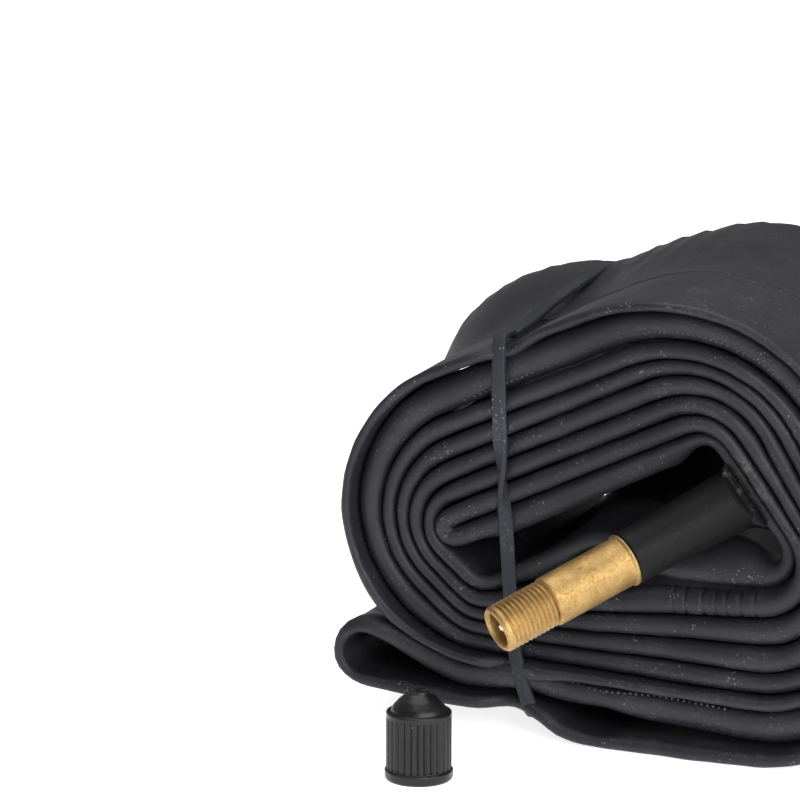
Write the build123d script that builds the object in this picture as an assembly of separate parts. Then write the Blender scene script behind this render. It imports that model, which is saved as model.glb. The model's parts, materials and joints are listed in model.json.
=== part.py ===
from build123d import *
import os
from collections import namedtuple
from math import asin, atan2, cos, hypot, pi, radians, sin

os.makedirs("parts", exist_ok=True)

# A bicycle inner tube as it is sold: the flat tube folded into a double belt, rolled up
# with its valve standing out of the front, held by a rubber band, with its cap beside it.
# Millimetres. X runs along the roll's long way, Y away from the front, Z up.

# ---------------------------------------------------------------- tube and roll
FLAT_WIDTH = 62.0        # width of the flattened tube, which is the depth of the roll
WALL = 0.9               # rubber wall; the flattened tube is two walls thick
STRAND = 2 * WALL

# Gaps between neighbouring strands, from the innermost strand outwards.
TOP_START, TOP_GAPS = 17.6, (0.5, 1.1, 1.4, 1.0, 0.6, 2.7, 1.2)
BOTTOM_START, BOTTOM_GAPS = 4.5, (2.2, 2.7, 3.0, 2.0, 1.1, 1.7, 3.6)
RIGHT_START, RIGHT_GAP = 29.0, 1.05
LEFT_START, LEFT_GAPS = 31.6, (0.3, 0.4, 0.6, 1.4, 1.2)
FOLD_GAPS = (0.5, 0.4, 0.4, 0.6, 0.6, 0.6)

UPPER_RIGHT = ((15.2, 15.0), (9.0, 5.0))     # bend centres, innermost and outermost
UPPER_LEFT = ((-26.0, -0.5), (-20.0, 2.5))
LOWER_RIGHT_RADIUS = 4.0                     # innermost lower right bend
FOLD_CENTRE, FOLD_RADIUS = (-22.3, -8.8), 1.5
INNER_HAIRPIN = ((-27.4, -0.9), 2.0)
OUTER_HAIRPIN = ((-41.6, -22.6), 4.6)
LEAF_BEND = ((9.0, 1.0), 5.5)
HUMP_BEND = ((-2.5, -6.0), 5.0)
PINCH_X, PINCH_RADIUS, PINCH_LIFT = -15.0, 10.0, 3.2
FOOT_X = 0.0                                 # left end of the flat that the roll stands on

# ---------------------------------------------------------------- valve
VALVE_LENGTH = 48.4
VALVE_SWING = 42.0       # the valve leans to the left of straight forward
VALVE_DROP = 21.1        # and down
BASE_INSET = 5.0         # valve base behind the tube's front edge
BASE_ALONG = 0.481       # place of the base along the strand that carries it
PATCH_LENGTH, PATCH_WIDTH, PATCH_THICK = 16.0, 12.4, 1.0
AIR_HOLE = 3.0

BRASS_LENGTH = 24.2      # bare brass beyond the rubber sleeve
THREAD_LENGTH = 9.6
THREAD_DIAMETER = 7.7
THREAD_PITCH = 0.794
THREAD_DEPTH = 0.43
GROOVE_HALF, FIRST_GROOVE = 0.38, 0.75   # shares of the pitch
LEAD_CHAMFER = 0.6
SHANK_DIAMETER = 8.1
COLLAR_DIAMETER, COLLAR_THICK = 8.6, 0.4
SLEEVE_DIAMETER = 8.8
SLEEVE_BASE_DIAMETER, SLEEVE_FLARE = 9.6, 7.0
STEM_TAIL_DIAMETER = 6.4
STEM_FOOT_DIAMETER, STEM_FOOT_THICK, STEM_FOOT_RISE = 8.6, 0.8, 6.0

# Valve core, measured back from the valve's mouth.
FIT = 0.05               # radial clearance of a running fit
SEAL_GAP = 0.03          # seats drawn just short of touching
CORE_THREAD_DIAMETER = 5.3
CORE_THREAD_DEPTH = 8.2
MOUTH_DIAMETER, MOUTH_CHAMFER = 6.2, 0.5
PLUG_TOP, PLUG_LENGTH = 1.6, 3.8
PLUG_SLOT = 1.6
NECK_DIAMETER, NECK_HEAD_DIAMETER, NECK_HEAD_THICK = 2.8, 3.6, 0.7
BARREL_DIAMETER, BARREL_LENGTH = 4.0, 4.4
SEAT_DEPTH, SEAT_LENGTH = 11.8, 1.6
CORE_BORE = 4.4          # stem bore around the barrel
AIR_BORE = 3.5           # stem bore below the seat
TAIL_DIAMETER, TAIL_LENGTH = 3.0, 4.4
PIN_DIAMETER, PIN_HEAD_DIAMETER, PIN_HEAD_THICK = 0.9, 1.3, 0.5
PIN_RECESS = 0.7
BARREL_BORE = 1.1
CHAMBER_DIAMETER, CHAMBER_FLOOR = 2.2, 0.8
SPRING_WIRE, SPRING_TURNS = 0.28, 6
SEAT_RING_THICK = 0.4
SEAL_DIAMETER, SEAL_THICK = 2.7, 0.8
CUP_WALL, CUP_FLOOR = 0.15, 0.35

# ---------------------------------------------------------------- rubber band and cap
BAND_WIDTH, BAND_THICK = 2.3, 1.0
BAND_X, BAND_Z = -15.6, -2.0     # a point in the band's middle plane
BAND_TILT = 5.5                  # its top leans to the left
BAND_CLEARANCE = 0.35
BAND_CORNER = 0.9

CAP_X, CAP_FORWARD = -22.1, 26.4         # cap's axis, and how far before the roll
CAP_HEIGHT = 14.3
CAP_DIAMETER = 10.3
CAP_RIM_DIAMETER, CAP_RIM_HEIGHT = 10.8, 1.7
CAP_RIBS, CAP_RIB_DEPTH, CAP_RIB_HEIGHT = 28, 0.3, 8.4
CAP_COLLAR_HEIGHT = 0.9
CAP_STEP_DIAMETER, CAP_STEP_HEIGHT = 8.8, 0.5
CAP_NUB_DIAMETER, CAP_NUB_HEIGHT = 3.3, 0.4
CAP_BORE_DEPTH = 9.0

LEFT_TURN, RIGHT_TURN = 1, -1
Bend = namedtuple("Bend", "x z radius turn")


def stack(start, gaps):
    """Middles of neighbouring strands: a start, then a strand and a gap for each next."""
    places = [start]
    for gap in gaps:
        places.append(places[-1] + STRAND + gap)
    return places


def between(ends, index, count):
    """Point number index of count points, evenly spaced between two ends."""
    share = index / (count - 1)
    return tuple(a + (b - a) * share for a, b in zip(*ends))


def bend(centre, radius, turn):
    return Bend(centre[0], centre[1], radius, turn)


def shifted(one, shift):
    """The same bend for a line that runs a distance to the left of this one."""
    return one._replace(radius=one.radius - one.turn * shift)


def heading(first, second):
    """Direction, in radians, of the straight run from one bend to the next."""
    dx, dz = second.x - first.x, second.z - first.z
    offset = second.turn * second.radius - first.turn * first.radius
    return atan2(dz, dx) - asin(offset / hypot(dx, dz))


def on_bend(one, direction):
    """Point where a line with this direction touches the bend."""
    reach = one.turn * one.radius
    return Vector(one.x + reach * sin(direction), one.z - reach * cos(direction))


def run_ends(bends, index):
    """Both ends of the straight run that leads into a bend."""
    before, here = bends[index - 1], bends[index % len(bends)]
    direction = heading(before, here)
    return on_bend(before, direction), on_bend(here, direction)


def bend_arc(bends, index):
    """The arc that a line follows round one of its bends."""
    one = bends[index]
    start, end = heading(bends[index - 1], one), heading(one, bends[(index + 1) % len(bends)])
    sweep = (one.turn * (end - start)) % (2 * pi)
    if sweep > 1.9 * pi:
        raise ValueError(f"bend {index} is too close to its neighbours")
    middle = start + one.turn * sweep / 2
    return ThreePointArc(*[on_bend(one, angle) for angle in (start, middle, end)])


def belt(bends, shift=0.0):
    """Closed line of straight runs and arcs, all tangent, a distance left of the bends."""
    moved = [shifted(one, shift) for one in bends]
    edges = []
    for index in range(len(moved)):
        edges.append(bend_arc(moved, index))
        edges.append(Line(*run_ends(moved, index + 1)))
    return Wire(edges)


def stretch_side(bends, first, last, shift):
    """Edges of one side of a stretch, from mid-run before its first bend to mid-run after its last."""
    moved = [shifted(one, shift) for one in bends]
    cuts = []
    for index in (first, last + 1):
        start, end = run_ends(bends, index)
        along = (end - start).normalized()
        cuts.append((start + end) / 2 + Vector(-along.Y, along.X) * shift)
    edges = []
    point = cuts[0]
    for index in range(first, last + 1):
        edges.append(Line(point, run_ends(moved, index)[1]))
        edges.append(bend_arc(moved, index))
        point = run_ends(moved, index + 1)[0]
    edges.append(Line(point, cuts[1]))
    return edges, cuts


def stretch_face(bends, first, last):
    """Section of a stretch of the flat tube, one strand thick."""
    left, left_cuts = stretch_side(bends, first, last, WALL)
    right, right_cuts = stretch_side(bends, first, last, -WALL)
    ends = [Line(a, b) for a, b in zip(left_cuts, right_cuts)]
    return Face(Wire(left + right + ends))


# ---------------------------------------------------------------- route of the rolled tube
tops = stack(TOP_START, TOP_GAPS)
bottoms = stack(BOTTOM_START, BOTTOM_GAPS)
rights = stack(RIGHT_START, [RIGHT_GAP] * (len(tops) - 1))
lefts = stack(LEFT_START, LEFT_GAPS)
fold_radii = stack(FOLD_RADIUS, FOLD_GAPS)


def right_side(level):
    """The two bends of one strand at the right: upper, lower."""
    upper = between(UPPER_RIGHT, level, len(tops))
    lower_radius = LOWER_RIGHT_RADIUS + rights[level] - rights[0]
    lower = (rights[level] - lower_radius, lower_radius - bottoms[level])
    return (upper, tops[level] - upper[1]), (lower, lower_radius)


def left_side(level):
    """The two bends of one strand at the left: lower, round the fold, and upper."""
    upper = between(UPPER_LEFT, level, len(lefts))
    return (FOLD_CENTRE, fold_radii[level]), (upper, upper[0] + lefts[level])


def outward_turn(level):
    """Right side, then left side, of the strand that runs outwards, clockwise."""
    (upper, lower), (fold, left) = right_side(level), left_side(level)
    return [bend(*one, RIGHT_TURN) for one in (upper, lower, fold, left)]


def inward_turn(level):
    """Left side, then right side, of the strand that runs back inwards."""
    (upper, lower), (fold, left) = right_side(level - 2), left_side(level - 2)
    return [bend(*one, LEFT_TURN) for one in (left, fold, lower, upper)]


first_upper, first_lower = right_side(0)
last_upper, last_lower = right_side(len(tops) - 1)
outer_upper, outer_lower = right_side(len(tops) - 2)
pinch_centre = (PINCH_X, -bottoms[-1] + PINCH_LIFT - PINCH_RADIUS)
foot = ((FOOT_X, last_lower[0][1]), last_lower[1])

route = [bend(*INNER_HAIRPIN, LEFT_TURN), bend(*first_upper, RIGHT_TURN), bend(*first_lower, RIGHT_TURN)]
route += [bend(*LEAF_BEND, RIGHT_TURN), bend(*HUMP_BEND, LEFT_TURN)]
route += [bend(FOLD_CENTRE, fold_radii[0], RIGHT_TURN), bend(*left_side(0)[1], RIGHT_TURN)]
route += outward_turn(2) + outward_turn(4)
route += [bend(*outer_upper, RIGHT_TURN), bend(*outer_lower, RIGHT_TURN)]
route += [bend(FOLD_CENTRE, fold_radii[-1], RIGHT_TURN), bend(*OUTER_HAIRPIN, LEFT_TURN)]
route += [bend(pinch_centre, PINCH_RADIUS, RIGHT_TURN), bend(*foot, LEFT_TURN)]
route += [bend(*last_lower, LEFT_TURN), bend(*last_upper, LEFT_TURN)]
route += inward_turn(7) + inward_turn(5) + inward_turn(3)

outline = belt(route, -WALL)
tube_length = belt(route).length

# The tube is one closed ring. These stretches of it, by first and last bend, meet face to face
# in the middle of a straight run, and the turns count outwards from the one with the valve.
TUBE_STRETCHES = {
    "tube_inner_fold": (0, 0),
    "tube_valve_turn": (1, 6),
    "tube_turn_2": (7, 10),
    "tube_turn_4": (11, 14),
    "tube_turn_6": (15, 17),
    "tube_outer_fold": (18, 19),
    "tube_turn_7": (20, 22),
    "tube_turn_5": (23, 26),
    "tube_turn_3": (27, 30),
    "tube_turn_1": (31, 34),
}

# ---------------------------------------------------------------- place of the valve
carrier_top, carrier_low = route[1], route[2]
run = heading(carrier_top, carrier_low)
run_start, run_end = on_bend(carrier_top, run), on_bend(carrier_low, run)
base = run_start + (run_end - run_start) * BASE_ALONG
inward = Vector(sin(run), 0, -cos(run))          # out of the strand, into the hollow
front = -FLAT_WIDTH / 2
base_point = Vector(base.X, front + BASE_INSET, base.Y) + inward * WALL

swing, drop = radians(VALVE_SWING), radians(VALVE_DROP)
valve_axis = Vector(-sin(swing) * cos(drop), -cos(swing) * cos(drop), -sin(drop))
base_plane = Plane(origin=base_point, x_dir=(0, 1, 0), z_dir=inward)
valve_plane = Plane(origin=base_point, x_dir=valve_axis.cross(Vector(0, 0, 1)), z_dir=valve_axis)


def turned(points):
    """Solid of revolution on the valve's own axis from (radius, height) points."""
    return revolve(Plane.XZ * make_face(Polyline(*points, close=True)), Axis.Z)


def rod(radius, low, high):
    """Plain cylinder on the valve's own axis between two heights."""
    return Pos(0, 0, low) * Cylinder(radius, high - low, align=(Align.CENTER, Align.CENTER, Align.MIN))


def ring(outer_radius, inner_radius, low, high):
    return rod(outer_radius, low, high) - rod(inner_radius, low, high)


def make_tube_stretch(first, last):
    """Stretch of the flat rolled tube, between the middles of two straight runs."""
    return extrude(Plane.XZ * stretch_face(route, first, last), FLAT_WIDTH / 2, both=True)


def make_tube_valve_turn():
    """Innermost turn, with the air hole behind the valve."""
    first, last = TUBE_STRETCHES["tube_valve_turn"]
    return make_tube_stretch(first, last) - base_plane * Cylinder(AIR_HOLE / 2, 2 * WALL)


def make_valve_base_patch():
    """Oval rubber pad bonded to the tube's wall under the valve."""
    pad = extrude(Ellipse(PATCH_LENGTH / 2, PATCH_WIDTH / 2), PATCH_THICK)
    pad = chamfer(pad.edges().group_by(Axis.Z)[-1], PATCH_THICK / 2)
    front_side = Pos(0, front - FLAT_WIDTH / 2, 0) * Box(4 * FLAT_WIDTH, FLAT_WIDTH, 4 * FLAT_WIDTH)
    return base_plane * (pad - Cylinder(AIR_HOLE / 2, 3 * PATCH_THICK)) - front_side


def stem_outside():
    """Outer shape of the brass stem, without its thread."""
    shank, tail = SHANK_DIAMETER / 2, STEM_TAIL_DIAMETER / 2
    bare = VALVE_LENGTH - BRASS_LENGTH
    foot_radius, foot_top = STEM_FOOT_DIAMETER / 2, STEM_FOOT_RISE + STEM_FOOT_THICK
    thread, lead = THREAD_DIAMETER / 2, LEAD_CHAMFER
    thread_start = VALVE_LENGTH - THREAD_LENGTH
    return turned([
        (0, STEM_FOOT_RISE), (foot_radius, STEM_FOOT_RISE), (foot_radius, foot_top), (tail, foot_top),
        (tail, bare), (COLLAR_DIAMETER / 2, bare), (COLLAR_DIAMETER / 2, bare + COLLAR_THICK),
        (shank, bare + 2 * COLLAR_THICK), (shank, thread_start - (shank - thread)),
        (thread, thread_start), (thread, VALVE_LENGTH - lead), (thread - lead, VALVE_LENGTH),
        (0, VALVE_LENGTH),
    ])


def make_valve_sleeve():
    """Rubber sleeve moulded over the stem, from the pad up to the bare brass."""
    bare = VALVE_LENGTH - BRASS_LENGTH
    sleeve = turned([
        (0, -SLEEVE_FLARE), (SLEEVE_BASE_DIAMETER / 2, -SLEEVE_FLARE),
        (SLEEVE_BASE_DIAMETER / 2, SLEEVE_FLARE), (SLEEVE_DIAMETER / 2, 2 * SLEEVE_FLARE),
        (SLEEVE_DIAMETER / 2, bare), (0, bare),
    ])
    sleeve = sleeve - stem_outside() - rod(AIR_BORE / 2, -SLEEVE_FLARE, bare)
    middle = PATCH_THICK - FLAT_WIDTH / 2
    behind = base_plane * Pos(0, 0, middle) * Box(FLAT_WIDTH, FLAT_WIDTH, FLAT_WIDTH)
    return valve_plane * sleeve - behind


mouth = VALVE_LENGTH
thread_bottom = mouth - CORE_THREAD_DEPTH
seat_top = mouth - SEAT_DEPTH
seat_bottom = seat_top - SEAT_LENGTH
plug_top = mouth - PLUG_TOP
plug_bottom = plug_top - PLUG_LENGTH
neck_head_top = plug_bottom + 2 * NECK_HEAD_THICK
barrel_top = plug_bottom - NECK_HEAD_THICK
barrel_bottom = barrel_top - BARREL_LENGTH
tail_bottom = seat_bottom - TAIL_LENGTH
pin_top = mouth - PIN_RECESS
seal_top = tail_bottom - SEAL_GAP
seal_bottom = seal_top - SEAL_THICK
cup_bottom = seal_bottom - CUP_FLOOR
chamber_bottom = tail_bottom + CHAMBER_FLOOR
chamber_top = barrel_top - CHAMBER_FLOOR


def make_valve_stem():
    """Brass stem: ridged outside for the cap and the pump, threaded and stepped inside."""
    core_radius = CORE_THREAD_DIAMETER / 2 + FIT
    bore = turned([
        (0, 0), (AIR_BORE / 2, 0), (AIR_BORE / 2, seat_bottom), (CORE_BORE / 2, seat_top),
        (CORE_BORE / 2, thread_bottom - (core_radius - CORE_BORE / 2)), (core_radius, thread_bottom),
        (core_radius, mouth - MOUTH_CHAMFER), (MOUTH_DIAMETER / 2, mouth), (0, mouth),
    ])
    crest, root = THREAD_DIAMETER / 2, THREAD_DIAMETER / 2 - THREAD_DEPTH
    stem = stem_outside() - bore
    ridge_room = THREAD_LENGTH - 2 * LEAD_CHAMFER
    for index in range(int(ridge_room / THREAD_PITCH)):
        middle = mouth - LEAD_CHAMFER - THREAD_PITCH * (index + FIRST_GROOVE)
        half = THREAD_PITCH * GROOVE_HALF
        groove = [(crest + half, middle - 2 * half), (root, middle), (crest + half, middle + 2 * half)]
        stem -= turned(groove)
    return valve_plane * stem


def make_core_plug():
    """Threaded swivel plug, with a slot for the core tool."""
    neck_radius, head_radius = NECK_DIAMETER / 2 + FIT, NECK_HEAD_DIAMETER / 2 + FIT
    plug = rod(CORE_THREAD_DIAMETER / 2, plug_bottom, plug_top)
    plug -= rod(neck_radius, plug_bottom, plug_top)
    plug -= rod(head_radius, plug_bottom + NECK_HEAD_THICK - FIT, neck_head_top + FIT)
    slot_depth = PLUG_LENGTH / 3
    slot = Pos(0, 0, plug_top - slot_depth / 2) * Box(CORE_THREAD_DIAMETER, PLUG_SLOT, slot_depth)
    return valve_plane * (plug - slot)


def gasket_outline():
    """Cone of the gasket, just short of the stem's seat, and the barrel it sits on."""
    top_radius = CORE_BORE / 2 - SEAL_GAP
    low_radius = AIR_BORE / 2 - SEAL_GAP
    tail = TAIL_DIAMETER / 2
    return [(tail, seat_bottom), (low_radius, seat_bottom), (top_radius, seat_top), (tail, seat_top)]


def make_core_barrel():
    """Barrel that carries the gasket outside and the spring inside."""
    body, tail, neck = BARREL_DIAMETER / 2, TAIL_DIAMETER / 2, NECK_DIAMETER / 2
    head, bore, chamber = NECK_HEAD_DIAMETER / 2, BARREL_BORE / 2, CHAMBER_DIAMETER / 2
    head_bottom = plug_bottom + NECK_HEAD_THICK
    barrel = turned([
        (0, tail_bottom), (tail, tail_bottom), (tail, seat_top), (body, seat_top), (body, barrel_top),
        (neck, barrel_top), (neck, head_bottom), (head, head_bottom), (head, neck_head_top),
        (0, neck_head_top),
    ])
    barrel -= rod(bore, tail_bottom - 1, neck_head_top + 1)
    barrel -= rod(chamber, chamber_bottom, chamber_top)
    return valve_plane * barrel


def make_core_gasket():
    return valve_plane * turned(gasket_outline())


def make_core_pin():
    """Pin that a pump or a gauge presses."""
    pin = rod(PIN_DIAMETER / 2, cup_bottom, pin_top)
    pin += rod(PIN_HEAD_DIAMETER / 2, pin_top - PIN_HEAD_THICK, pin_top)
    return valve_plane * pin


def make_core_cup():
    """Small cup at the pin's foot that holds the seal."""
    cup = rod(SEAL_DIAMETER / 2 + CUP_WALL, cup_bottom, seal_bottom + SEAL_THICK / 2)
    cup -= rod(SEAL_DIAMETER / 2, seal_bottom, seal_top)
    return valve_plane * (cup - rod(PIN_DIAMETER / 2, cup_bottom - 1, seal_bottom + 1))


def make_core_cup_seal():
    return valve_plane * ring(SEAL_DIAMETER / 2, PIN_DIAMETER / 2, seal_bottom, seal_top)


def make_core_spring_seat():
    """Ring fixed on the pin that the spring pushes outwards."""
    radius, top = CHAMBER_DIAMETER / 2 - FIT, chamber_top - FIT
    return valve_plane * ring(radius, PIN_DIAMETER / 2, top - SEAT_RING_THICK, top)


def make_core_spring():
    """Coil spring round the pin, between the barrel's floor and the ring on the pin."""
    low = chamber_bottom + SPRING_WIRE / 2 + SEAL_GAP
    high = chamber_top - FIT - SEAT_RING_THICK - SPRING_WIRE / 2 - SEAL_GAP
    radius = (CHAMBER_DIAMETER / 2 + PIN_DIAMETER / 2) / 2
    coil = Pos(0, 0, low) * Helix((high - low) / SPRING_TURNS, high - low, radius)
    section = Plane(origin=coil @ 0, z_dir=coil % 0) * Circle(SPRING_WIRE / 2)
    return valve_plane * sweep(section, coil, is_frenet=True)


def make_rubber_band():
    """Flat rubber band stretched round the roll, sized from the roll where it lies."""
    tilt = radians(BAND_TILT)
    place = Plane(origin=(BAND_X, 0, BAND_Z), x_dir=(0, 1, 0), z_dir=(cos(tilt), 0, sin(tilt)))
    roll = extrude(Plane.XZ * Face(outline), FLAT_WIDTH / 2, both=True)
    slab = place * Box(4 * FLAT_WIDTH, 4 * FLAT_WIDTH, BAND_WIDTH)
    held = place.to_local_coords(roll & slab).bounding_box()
    width = held.size.X + 2 * BAND_CLEARANCE
    height = held.size.Y + 2 * BAND_CLEARANCE
    inside = RectangleRounded(width, height, BAND_CORNER)
    outside = RectangleRounded(width + 2 * BAND_THICK, height + 2 * BAND_THICK, BAND_CORNER + BAND_THICK)
    loop = Pos(held.center().X, held.center().Y) * (outside - inside)
    return place * extrude(loop, BAND_WIDTH / 2, both=True)


def make_valve_cap():
    """Ribbed plastic dust cap, open at the bottom."""
    body, rim, step = CAP_DIAMETER / 2 - CAP_RIB_DEPTH, CAP_RIM_DIAMETER / 2, CAP_STEP_DIAMETER / 2
    ribs_top = CAP_RIM_HEIGHT + CAP_RIB_HEIGHT
    collar_top = ribs_top + CAP_COLLAR_HEIGHT
    dome_start = collar_top + CAP_STEP_HEIGHT
    nub_bottom = CAP_HEIGHT - CAP_NUB_HEIGHT
    nub = CAP_NUB_DIAMETER / 2
    cap = turned([
        (0, 0), (rim, 0), (rim, CAP_RIM_HEIGHT), (body, CAP_RIM_HEIGHT), (body, ribs_top),
        (CAP_DIAMETER / 2, ribs_top), (CAP_DIAMETER / 2, collar_top), (step, collar_top),
        (step, dome_start), (nub, nub_bottom), (nub, CAP_HEIGHT), (0, CAP_HEIGHT),
    ])
    rib = Pos(body, 0, CAP_RIM_HEIGHT) * Cylinder(
        CAP_RIB_DEPTH, CAP_RIB_HEIGHT, align=(Align.CENTER, Align.CENTER, Align.MIN))
    cap += PolarLocations(0, CAP_RIBS) * rib
    bore_radius = THREAD_DIAMETER / 2 + FIT
    bore_tip = CAP_BORE_DEPTH + bore_radius / 2
    cap -= turned([(0, 0), (bore_radius, 0), (bore_radius, CAP_BORE_DEPTH), (0, bore_tip)])
    floor = -bottoms[-1] - WALL
    return Pos(CAP_X, front - CAP_FORWARD, floor) * cap


pieces = {name: make_tube_stretch(*bends) for name, bends in TUBE_STRETCHES.items()}
pieces |= {
    "tube_valve_turn": make_tube_valve_turn(),
    "valve_base_patch": make_valve_base_patch(),
    "valve_sleeve": make_valve_sleeve(),
    "valve_stem": make_valve_stem(),
    "core_plug": make_core_plug(),
    "core_barrel": make_core_barrel(),
    "core_gasket": make_core_gasket(),
    "core_pin": make_core_pin(),
    "core_cup": make_core_cup(),
    "core_cup_seal": make_core_cup_seal(),
    "core_spring": make_core_spring(),
    "core_spring_seat": make_core_spring_seat(),
    "rubber_band": make_rubber_band(),
    "valve_cap": make_valve_cap(),
}

# The part's origin is under the middle of everything, on the surface that it stands on.
boxes = [piece.bounding_box() for piece in pieces.values()]
low = [min(tuple(box.min)[axis] for box in boxes) for axis in range(3)]
high = [max(tuple(box.max)[axis] for box in boxes) for axis in range(3)]
origin = Vector((low[0] + high[0]) / 2, (low[1] + high[1]) / 2, low[2])


def report(name, point):
    moved = point - origin
    print(f"{name}: ({moved.X:.3f}, {moved.Y:.3f}, {moved.Z:.3f})")


for name, piece in pieces.items():
    export_step(Pos(-origin) * piece, f"parts/{name}.step")

print(f"strand length all round: {tube_length:.1f}")
print(f"valve axis: ({valve_axis.X:.5f}, {valve_axis.Y:.5f}, {valve_axis.Z:.5f})")
report("valve base", base_point)
report("valve mouth", base_point + valve_axis * VALVE_LENGTH)
report("cap foot", Vector(CAP_X, front - CAP_FORWARD, -bottoms[-1] - WALL))
report("front middle of the roll", Vector(0, front, 0))
report("flat underneath", Vector((FOOT_X + last_lower[0][0]) / 2, 0, -bottoms[-1] - WALL))
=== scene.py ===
"""A rolled bicycle inner tube with its valve, rubber band and cap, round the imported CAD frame.

The CAD frame gives the size, the place and the motion of each piece. This script models what shows:
the flattened tube wound in a double belt, the rubber-covered valve, the band and the ribbed cap.
"""

import json
import logging
from collections.abc import Callable
from dataclasses import dataclass
from enum import Enum
from functools import partial
from math import cos, pi, radians, sin

import bpy  # noqa: E402
import numpy as np  # noqa: E402
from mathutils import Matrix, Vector  # noqa: E402

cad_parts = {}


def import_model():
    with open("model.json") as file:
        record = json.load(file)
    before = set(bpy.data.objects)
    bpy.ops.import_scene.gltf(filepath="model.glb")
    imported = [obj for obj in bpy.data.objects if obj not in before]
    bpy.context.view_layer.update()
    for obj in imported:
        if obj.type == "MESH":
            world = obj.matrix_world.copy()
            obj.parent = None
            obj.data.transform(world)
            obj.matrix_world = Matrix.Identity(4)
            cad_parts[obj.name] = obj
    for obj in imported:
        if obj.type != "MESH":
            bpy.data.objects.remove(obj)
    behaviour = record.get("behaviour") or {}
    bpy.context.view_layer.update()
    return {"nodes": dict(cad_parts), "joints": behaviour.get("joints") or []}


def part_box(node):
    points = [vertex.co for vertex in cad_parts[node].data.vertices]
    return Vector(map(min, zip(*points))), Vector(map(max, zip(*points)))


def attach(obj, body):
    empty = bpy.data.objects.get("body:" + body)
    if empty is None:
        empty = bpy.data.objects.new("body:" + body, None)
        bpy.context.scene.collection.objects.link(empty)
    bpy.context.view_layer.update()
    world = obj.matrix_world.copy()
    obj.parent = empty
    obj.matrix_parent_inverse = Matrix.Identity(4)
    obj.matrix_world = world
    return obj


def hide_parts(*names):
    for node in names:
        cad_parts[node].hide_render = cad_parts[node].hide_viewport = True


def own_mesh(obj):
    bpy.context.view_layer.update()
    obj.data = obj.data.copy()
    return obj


MM = 0.001
TUBE_NODES = (
    "tube_inner_fold", "tube_valve_turn", "tube_turn_1", "tube_turn_2", "tube_turn_3", "tube_turn_4", "tube_turn_5",
    "tube_turn_6", "tube_turn_7", "tube_outer_fold")
FINE_CUT = 1e-7
Piece = bpy.types.Object
Socket = bpy.types.NodeSocket
Material = bpy.types.Material
Triple = tuple[float, float, float]
Colour = Triple
Pair = tuple[float, float]
Circle = tuple[Pair, float]
Stretch = tuple[float, float, float, float]
log = logging.getLogger("inner_tube")


# ------------------------------------------------------------------ modelling helpers
def deselect() -> None:
    """Leaves edit mode and clears the selection."""
    if bpy.context.object and bpy.context.object.mode != "OBJECT":
        bpy.ops.object.mode_set(mode="OBJECT")
    bpy.ops.object.select_all(action="DESELECT")


def select_only(obj: Piece) -> None:
    """Makes one object the selected and active one.

    Args:
        obj: The object.
    """
    deselect()
    obj.select_set(True)
    bpy.context.view_layer.objects.active = obj


def wrapped_grid(
    name: str, columns: int, rows: int, place: Callable[[np.ndarray, np.ndarray], np.ndarray]
) -> Piece:
    """A grid primitive laid on a curved surface, its meeting edges welded and its faces turned out.

    Args:
        name: Name of the new piece.
        columns: Faces along u.
        rows: Faces along v.
        place: Takes the column and row number of each vertex, returns its position in metres.

    Returns:
        The finished object, at the origin.
    """
    deselect()
    bpy.ops.mesh.primitive_grid_add(x_subdivisions=columns, y_subdivisions=rows, size=2)
    obj = bpy.context.object
    obj.name = obj.data.name = name
    flat = np.empty(len(obj.data.vertices) * 3)
    obj.data.vertices.foreach_get("co", flat)
    flat = flat.reshape(-1, 3)
    column = np.rint((flat[:, 0] + 1) / 2 * columns).astype(int)
    row = np.rint((flat[:, 1] + 1) / 2 * rows).astype(int)
    obj.data.vertices.foreach_set("co", place(column, row).ravel())
    bpy.ops.object.mode_set(mode="EDIT")
    bpy.ops.mesh.select_all(action="SELECT")
    bpy.ops.mesh.remove_doubles(threshold=2e-7)
    bpy.ops.mesh.dissolve_degenerate(threshold=1e-8)
    bpy.ops.mesh.normals_make_consistent(inside=False)
    bpy.ops.object.mode_set(mode="OBJECT")
    bpy.ops.object.shade_smooth()
    return obj


def smooth_step(value: np.ndarray) -> np.ndarray:
    """Eases from 0 to 1 as the value goes from 0 to 1."""
    value = np.clip(value, 0, 1)
    return value * value * (3 - 2 * value)


def ripple(along: np.ndarray, lengths: tuple[float, ...], seed: int) -> np.ndarray:
    """Gentle unevenness between -1 and 1, a sum of waves.

    Args:
        along: Distance along the piece.
        lengths: Wave lengths, in the same unit.
        seed: Chooses the phases.

    Returns:
        The wave's value at each distance.
    """
    phases = np.random.default_rng(seed).uniform(0, 2 * pi, len(lengths))
    waves = [np.sin(2 * pi * along / length + phase) for length, phase in zip(lengths, phases)]
    return sum(waves) / len(lengths)


def window(value: np.ndarray, start: float, rise: float, end: float, fall: float) -> np.ndarray:
    """Share that eases in after a start and is out again at an end.

    Args:
        value: Where each point is.
        start: Where the share begins to rise.
        rise: Stretch over which it rises.
        end: Where it is back at 0.
        fall: Stretch over which it falls.

    Returns:
        Share from 0 to 1 at each point.
    """
    return smooth_step((value - start) / rise) * smooth_step((end - value) / fall)


def hill(value: np.ndarray, middle: float, reach: float) -> np.ndarray:
    """Bell shape, 1 at its middle."""
    return np.exp(-(((value - middle) / reach) ** 2))


def softened(values: np.ndarray, steps: int = 13) -> np.ndarray:
    """Averages each value of a closed row with its neighbours.

    Args:
        values: The closed row.
        steps: Odd number of values that take part in each average.

    Returns:
        The softened row, of the same length.
    """
    kernel, half = np.hanning(steps), steps // 2
    padded = np.concatenate([values[-half:], values, values[:half]])
    return np.convolve(padded, kernel / kernel.sum(), mode="valid")


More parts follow.
